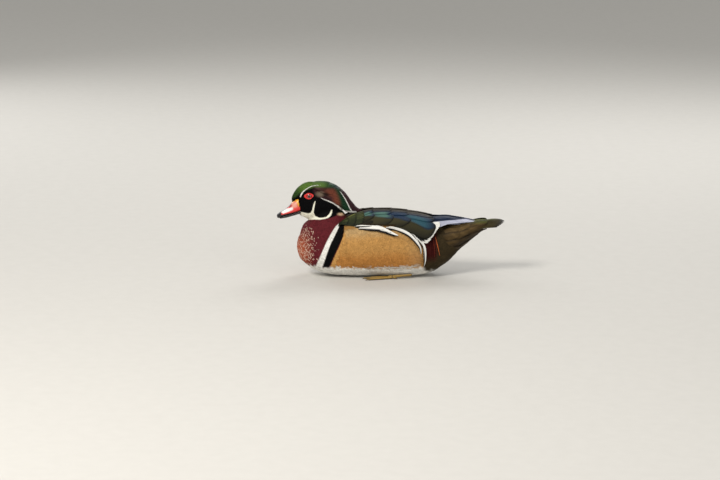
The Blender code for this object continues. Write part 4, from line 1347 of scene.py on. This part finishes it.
def plume_line():
    """Points and inward directions along the line of the plumes, by share of its length."""
    ys, zs = np.array(PLUME_LINE, float).T
    steps = np.concatenate([[0], np.cumsum(np.hypot(np.diff(ys), np.diff(zs)))])
    shares = steps / steps[-1]
    along_y, along_z = curve_through(shares, ys), curve_through(shares, zs)

    def at(t, inward):
        ahead, behind = np.minimum(t + 0.02, 1), np.maximum(t - 0.02, 0)
        dy, dz = along_y(ahead) - along_y(behind), along_z(ahead) - along_z(behind)
        length = np.hypot(dy, dz)
        return along_y(t) + inward * dz / length, along_z(t) - inward * dy / length

    return at


def make_flank_plumes():
    plumes = Plumes()
    line = plume_line()
    stand_off = table_curve(PLUME_STANDS)
    colour = shades(WHITE, (BLACK, lambda a, c, p: rise(c - between(0.5, 0.0, a), -0.1, 0.1)))
    for order, (first, last, width, swing) in enumerate(PLUMES):

        def place(along, across, lift, first=first, last=last, width=width, swing=swing, order=order):
            t = between(first, last, along)
            y, z = line(t, across + width / 2 + swing * rise(along, 0.05, 0.95))
            return TORSO.at(y, TORSO.angle_at_height(y, z), lift + PLUME_STEP * order + stand_off(t))

        plumes.add(
            place, width, colour, sink=3, stand=0.5, tilt=0.5, rows=30, columns=13,
            gloss=0.05, tip=2.6,
        )
    return plumes


plume_finish = feather_finish("flank_plumes", barbs=22, depth=0.12, rough=0.7, shine=0.0)
plume_set = make_flank_plumes()
for side, name in SIDES:
    plumes = plume_set.made("flank_plumes_" + name, plume_finish, side)
    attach(plumes, "root")
    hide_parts("flank_" + name)


# The crest
# Long silky feathers that hang from the crown and nape as a hood, green, rusty and brown,
# with two thin white lines that run to its tip.

# Rows from the front: y of root and tip, the lowest feather's angle, how many and how wide
CREST_ROWS = (
    (-150, -112, 20, 13, 9), (-138, -98, 14, 14, 9), (-124, -82, -20, 17, 8.5),
    (-110, -66, -42, 17, 7.5), (-98, -52, -55, 13, 6.5),
)


def make_crest():
    crest = Plumes()
    for row, (root, tip, lowest, count, width) in reversed(list(enumerate(CREST_ROWS))):
        for k in range(count):
            share = 2 * k / (count - 1) - 1
            start = (root, math.radians(90 - share * (90 - lowest)))
            end = (tip - 6 * abs(share), math.radians(90 - share * (80 - lowest)))
            place = raised(lie_on(CREST, start, end, -1 if share >= 0 else 1), -0.5)
            crest.add(
                place, width, lambda a, c, p: head_colours(p), sink=3.6, stand=0.5 - 0.2 * row,
                tilt=0.9, rows=30, gloss=0.45, tip=3,
            )
    return crest


crest_finish = feather_finish("crest_feathers", barbs=14, depth=0.18, rough=0.52, shine=0.25, mirror=0.12)
crest = make_crest().made("crest_plumage", crest_finish)
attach(crest, "root")
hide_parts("crest")


# The tail and its coverts
# A short square fan of dark feathers, wrapped above and below at its root by rows of
# olive-brown coverts.

# Coverts from the rear forward: y of root and tip, how many, how wide and how far they stand off
COVERT_ROWS = (
    (126, 178, 10, 14.5, 1.0), (114, 162, 10, 15, 1.2), (102, 146, 12, 16, 1.4),
    (90, 128, 13, 17, 1.5),
)
TAIL_TIP = 210
# The fan's own surface: y, half width, height in the middle and droop at the sides
TAIL_STATIONS = (
    (120, 13, 92.5, 1), (150, 18, 98.4, 2), (168, 23, 101.6, 3.4), (180, 26.5, 103.8, 4.6),
    (192, 28, 105, 5), (203, 27, 104.2, 4.6), (TAIL_TIP, 26, 101.4, 4),
)
# The fan's feathers: how many and how wide, the y of the point that they spread from, how many
# degrees they spread to either side, and the y of their roots
TAIL_FEATHERS = 14
TAIL_FEATHER_WIDTH = 12
TAIL_PIVOT = 100
TAIL_SPREAD = 15
TAIL_ROOT = 134
COVERT_OLIVE = tone(84, 66, 38)
COVERT_PALE = tone(112, 90, 56)
# The next colour is a painted green sheen along the top of the coverts and on the tail's upper side
GREEN_SHEEN = tone(84, 92, 44)
TAIL_DARK = tone(30, 25, 18)
TAIL_BROWN = tone(62, 54, 28)


def make_coverts():
    coverts = Plumes()
    for row, (root, tip, count, width, stand) in enumerate(COVERT_ROWS):
        for k in range(count):
            angle = 2 * math.pi * (k + 0.5 * (row % 2)) / count - math.pi / 2
            turn = 1 if math.cos(angle) >= 0 else -1
            tuck = -3.2 * rise(math.sin(angle), 0.2, 0.8)
            place = raised(lie_on(COVERTS, (root, angle), (tip, angle), turn), tuck)
            colour = shades(
                dimmed(COVERT_OLIVE, 0.8 + 0.4 * ((k * 7 + row * 3) % 5) / 4),
                (
                    COVERT_PALE,
                    lambda a, c, p: 0.5 * rise(np.sin(a * 15 + c * 3 + k), 0.2, 1) * rise(a, 0.3, 0.6),
                ),
                # Painted sheen: green along the top of the coverts
                (GREEN_SHEEN, lambda a, c, p: 0.8 * rise(p[:, 2], 97, 104)),
                (TAIL_DARK, lambda a, c, p: 0.7 * rise(np.abs(c), 0.5, 1)),
                (TAIL_DARK, lambda a, c, p: 0.6 * rise(-p[:, 2] + 0.55 * (p[:, 1] - 90), -62, -44)),
            )
            coverts.add(place, width, colour, sink=4, stand=stand, tilt=1.1, gloss=0.2)
    return coverts


def tail_height(x, y):
    ys, widths, heights, droops = zip(*TAIL_STATIONS)
    share = x / curve_through(ys, widths)(y)
    return curve_through(ys, heights)(y) - curve_through(ys, droops)(y) * share * share


def tail_place(turn, tip, drop):
    c, s = math.cos(turn), math.sin(turn)

    def place(along, across, lift):
        reach = between(TAIL_ROOT - TAIL_PIVOT, tip, along)
        x, y = reach * s + across * c, TAIL_PIVOT + reach * c - across * s
        return np.stack([x, y, tail_height(x, y) + lift - drop], axis=-1)

    return place


def make_tail():
    tail = Plumes()
    middle = (TAIL_FEATHERS - 1) / 2

    def upper_side(place):
        return rise(place[:, 2] - tail_height(place[:, 0], place[:, 1]), -1.5, 0.5)

    colour = shades(
        TAIL_BROWN,
        # Painted sheen: green on the upper side of the tail
        (GREEN_SHEEN, lambda a, c, p: 0.6 * upper_side(p) * fall(a, 0.6, 0.95)),
        tipped(TAIL_DARK, 0.8, 0.8, 0.97),
    )
    for k in range(TAIL_FEATHERS):
        rank = k - middle
        turn = math.radians(TAIL_SPREAD * rank / middle)
        place = tail_place(turn, TAIL_TIP - TAIL_PIVOT - 0.24 * rank * rank, 0.9 * abs(rank))
        tail.add(place, TAIL_FEATHER_WIDTH, colour, sink=0, stand=0, tilt=0, root=0.8, tip=7, gloss=0.35)
    return tail


tail_finish = feather_finish("tail_feathers", barbs=26, depth=0.2, rough=0.6, shine=0.08, mirror=0.12)
for make, name, node in (
    (make_coverts, "tail_covert_plumage", "tail_coverts"), (make_tail, "tail_plumage", "tail"),
):
    piece = make().made(name, tail_finish)
    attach(piece, "root")
    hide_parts(node)


# The rump's plumes
# A maroon patch on the side of the rump, crossed by one reddish and one orange thread-like
# plume that hang over it.
ORANGE = tone(226, 112, 56)
REDDISH = tone(186, 82, 58)
# Widths and colours from front to rear
RUMP_PLUMES = ((8, RUMP_MAROON), (8, RUMP_MAROON), (4, REDDISH), (8, RUMP_MAROON), (4.5, ORANGE))


def make_rump_plumes():
    plumes = Plumes()
    for k, (width, tint) in enumerate(RUMP_PLUMES):
        root = (74 + 2 * k, TORSO.angle_at_height(74, 82 - k))
        tip = (72 + 4.6 * k, TORSO.angle_at_height(80, 42))
        place = raised(lie_on(TORSO, root, tip, -1), 0.6 + 0.6 * k)
        plumes.add(place, width, shades(tint), sink=1, stand=0.6, tilt=0.6, gloss=0.1)
    return plumes


rump_finish = feather_finish("rump_plumes", barbs=16, depth=0.2, rough=0.55, shine=0.2)
rump_set = make_rump_plumes()
for side, name in SIDES:
    rump = rump_set.made("rump_plumage_" + name, rump_finish, side)
    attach(rump, "root")
    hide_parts("rump_plumes_" + name)


# The bill
# Smooth horn: red sides with a white patch, a yellow line at the base, and a black ridge and
# nail. The lower half is black and closes under the upper.
BILL_STATIONS = (
    (-210, 0, 111, 111), (-208.6, 4.6, 114.4, 107.2), (-205.5, 6.9, 116.8, 107.4),
    (-201, 8.4, 119, 110.6), (-195, 9.2, 122.6, 112.4), (-188, 10, 128.6, 114.6),
    (-181, 11.2, 137, 116.8), (-173, 12.3, 144, 119), (-166, 12.2, 147, 121.4),
    (-158, 11, 144, 123),
)
LOWER_BILL_STATIONS = (
    (-205.6, 0, 107.6, 107.6), (-204, 4, 109, 105.6), (-200, 6.4, 110.6, 106),
    (-192, 7.8, 112.8, 107.4), (-180, 9.2, 116.4, 111), (-168, 10.4, 119.8, 114.6),
    (-160, 10, 121, 117),
)
BILL = Form(BILL_STATIONS, waist=0.3, upper=2.5, lower=3.0)
LOWER_BILL = Form(LOWER_BILL_STATIONS, waist=0.7, upper=3.0, lower=2.4)
BILL_RED = tone(226, 54, 50)
BILL_YELLOW = tone(240, 170, 40)
BILL_WHITE = tone(248, 246, 244)
BILL_BLUSH = tone(232, 160, 140)
BLUSH_PATCH = ((-182, 124), (-182, 136), (-172, 136), (-172, 127))
WHITE_PATCH = (
    (-201.5, 117), (-199.3, 121.6), (-187.5, 125), (-181, 126.5), (-179.5, 122.6),
    (-187.5, 118.2), (-198.1, 114.6),
)
YELLOW_BAND = (
    (-184.5, 133.4), (-186, 137), (-165, 151), (-158, 151), (-158, 128), (-169.8, 128),
    (-172, 133.4), (-175.6, 138), (-182, 134.6),
)
# The upper edge of the black rim along the mouth, as y and seeming height
MOUTH_RIM = ((-200, 112.4), (-166, 119.4))
# Half the width of the black ridge of the bill, by y, and the nostril: its middle as y and
# seeming height, its half length and half height, and its slope
RIDGE_WIDTHS = ((-204, 2.2), (-192, 2.4), (-187, 5.2), (-182.5, 5.6), (-179, 0))
NOSTRIL = (-184.6, 128.4)
NOSTRIL_REACH = (2.7, 1.2)
NOSTRIL_SLOPE = math.radians(38)
NOSTRIL_DEPTH = 1.1


def nostril(points):
    """1 in the middle of the nostril on either side, and 0 beyond its rim."""
    y, w = eye_view(points)
    c, s = math.cos(NOSTRIL_SLOPE), math.sin(NOSTRIL_SLOPE)
    along = (y - NOSTRIL[0]) * c + (w - NOSTRIL[1]) * s
    across = (w - NOSTRIL[1]) * c - (y - NOSTRIL[0]) * s
    within = 1 - rise(np.hypot(along / NOSTRIL_REACH[0], across / NOSTRIL_REACH[1]), 0.6, 1.1)
    return within * rise(np.abs(points[:, 0]), 4, 5)


def bill_colours(points):
    y, w = eye_view(points)
    ridge = on_line(y, RIDGE_WIDTHS) - np.abs(points[:, 0])
    return laid(
        plain(BILL_RED, len(y)),
        (BILL_BLUSH, inside(y, w, BLUSH_PATCH, 2.5)),
        (BILL_WHITE, inside(y, w, WHITE_PATCH, 0.6)),
        (BLACK, rise(ridge, -0.7, 0.5) * fall(y, -179.5, -178)),
        (BILL_YELLOW, inside(y, w, YELLOW_BAND, 0.7)),
        (BLACK, fall(y, -202.5, -200.5)),
        (BLACK, 0.85 * nostril(points)),
        (BLACK, rise(on_line(y, MOUTH_RIM) - w, -0.5, 0.5)),
    )


def make_upper_bill():
    bill = loft("upper_bill", form_rings(BILL, 100, 72, 0))
    points = points_of(bill.data)
    painted(bill, bill_colours(points))
    dent = NOSTRIL_DEPTH * nostril(points)
    moved(bill.data, points - fetched(bill.data.vertex_normals, "vector", 3) * dent[:, None])
    return bill


def bill_finish():
    finish = Finish("bill_horn")
    mottle = finish.noise(finish.place, 260, 4)
    colour = finish.mix(finish.carried("plumage"), (0.0, 0.0, 0.0), 0.22 * mottle)
    finish.set(Base_Color=colour, Roughness=0.28 + 0.2 * mottle, Coat_Weight=0.25)
    finish.bump(mottle, 0.15, 0.0003)
    return finish.material


horn = bill_finish()
upper_bill = make_upper_bill()
upper_bill.data.materials.append(horn)
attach(upper_bill, "root")
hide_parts("bill_upper")
lower_bill = loft("lower_bill", form_rings(LOWER_BILL, 40, 40, 0))
painted(lower_bill, plain(BLACK, len(lower_bill.data.vertices)))
lower_bill.data.materials.append(horn)
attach(lower_bill, "root")
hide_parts("bill_lower")


# The eyes
# Glossy red balls with a dark pupil, in a fleshy scarlet ring drawn to a point in front
# and behind.
EYE = (14.2, -150.0, 150.4)
EYE_RADIUS = 6.2
PUPIL_RADIUS = 2.4
IRIS = tone(150, 24, 20)
PUPIL_EDGE = 0.2
# The ring round the eye: its half length and half height, how much further its ends are drawn
# out, how far it stands off the eye's middle and how much less at its ends, its half thickness
# and how much more it has at its ends, and how far it swells outwards
RING_REACH = (5.6, 4.7)
RING_DRAWN_OUT = 1.3
RING_STAND = (3.9, 0.9)
RING_THICKNESS = (1.15, 1.25)
RING_SWELL = 1.3
RING_RED = tone(228, 50, 44)
RING_SHADE = tone(160, 24, 22)


def make_eye(side, name):
    turns = np.linspace(0, 2 * math.pi, 33)[None, :-1]
    depths = np.linspace(0, math.pi, 21)[:, None]
    ball = np.cos(depths), np.sin(depths) * np.cos(turns), np.sin(depths) * np.sin(turns)
    grid = np.stack(np.broadcast_arrays(*ball), axis=-1) * EYE_RADIUS + EYE
    eye = loft("eyeball_" + name, grid * (side, 1, 1))
    points = points_of(eye.data) * (side, 1, 1) - EYE
    away = np.hypot(points[:, 1], points[:, 2])
    pupil = fall(away, PUPIL_RADIUS - PUPIL_EDGE, PUPIL_RADIUS + PUPIL_EDGE)
    painted(eye, laid(plain(IRIS, len(points)), (BLACK, pupil)))
    return eye


def make_ring(side, name):
    """The fleshy ring round the eye, thicker and drawn out where it comes to a point."""
    around, sides = 64, 14
    t = 2 * math.pi * np.arange(around) / around
    ends = np.abs(np.cos(t))
    length = RING_REACH[0] + RING_DRAWN_OUT * ends**3
    out = np.stack([0 * t, np.cos(t) * length, np.sin(t) * RING_REACH[1]], axis=-1)
    stand = np.stack([RING_STAND[0] - RING_STAND[1] * ends, 0 * t, 0 * t], axis=-1)
    middle = np.array(EYE) + out + stand
    out /= np.linalg.norm(out, axis=1, keepdims=True)
    thick = RING_THICKNESS[0] + RING_THICKNESS[1] * ends**3
    k = 2 * math.pi * np.arange(sides) / sides
    points = middle[:, None, :] + out[:, None, :] * (thick[:, None] * np.cos(k))[..., None]
    points[..., 0] += RING_SWELL * np.sin(k)
    points = points.reshape(-1, 3) * (side, 1, 1)
    faces = grid_faces(around + 1, sides, closed=True)
    faces = [tuple(corner % len(points) for corner in face) for face in faces]
    return face_out(mesh_object("eye_ring_" + name, points, faces))


def eye_finishes():
    ball = Finish("eyeball")
    ball.set(Base_Color=ball.carried("plumage"), Roughness=0.06, Coat_Weight=1.0)
    ring = Finish("eye_ring")
    bumps = ring.noise(ring.place, 1400, 3)
    ring.set(Base_Color=ring.mix(RING_RED, RING_SHADE, 0.6 * bumps), Roughness=0.42)
    ring.bump(bumps, 0.3, 0.0002)
    return ball.material, ring.material


ball_finish, ring_finish = eye_finishes()
for side, name in SIDES:
    eye = make_eye(side, name)
    eye.data.materials.append(ball_finish)
    ring = make_ring(side, name)
    ring.data.materials.append(ring_finish)
    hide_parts("eye_" + name)
    for piece in (eye, ring):
        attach(piece, "root")


# The legs and feet
# Dull yellow scaly legs that lie along the floor under the belly, with dark webs between
# the toes.
SCALE_DARK = tone(120, 92, 34)
SCALE_YELLOW = tone(184, 146, 62)
WORN = tone(70, 60, 40)
# The height in metres over which the webs' dark ends
WEB_TOP = (0.0018, 0.0024)
WEB_DARK = tone(40, 34, 24)


def leg_finish():
    finish = Finish("leg_scales")
    cells = {"Vector": finish.place, "Scale": 620}
    edges = finish.node("ShaderNodeTexVoronoi", {"feature": "DISTANCE_TO_EDGE"}, cells)("Distance")
    ridge = edges.step(0.0, 0.16)
    height = finish.node("ShaderNodeSeparateXYZ", {}, {"Vector": finish.place})("Z")
    webbed = 1 - height.step(*WEB_TOP)
    wear = finish.noise(finish.place, 90, 3)
    worn = finish.mix(finish.mix(SCALE_DARK, SCALE_YELLOW, ridge), WORN, 0.5 * wear)
    finish.set(Base_Color=finish.mix(worn, WEB_DARK, 0.85 * webbed), Roughness=0.5)
    finish.bump(ridge, 0.4, 0.0003)
    return finish.material


scales = leg_finish()
for name in ("leg_left", "leg_right", "foot_left", "foot_right"):
    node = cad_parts[name]
    node.data.materials.clear()
    node.data.materials.append(scales)
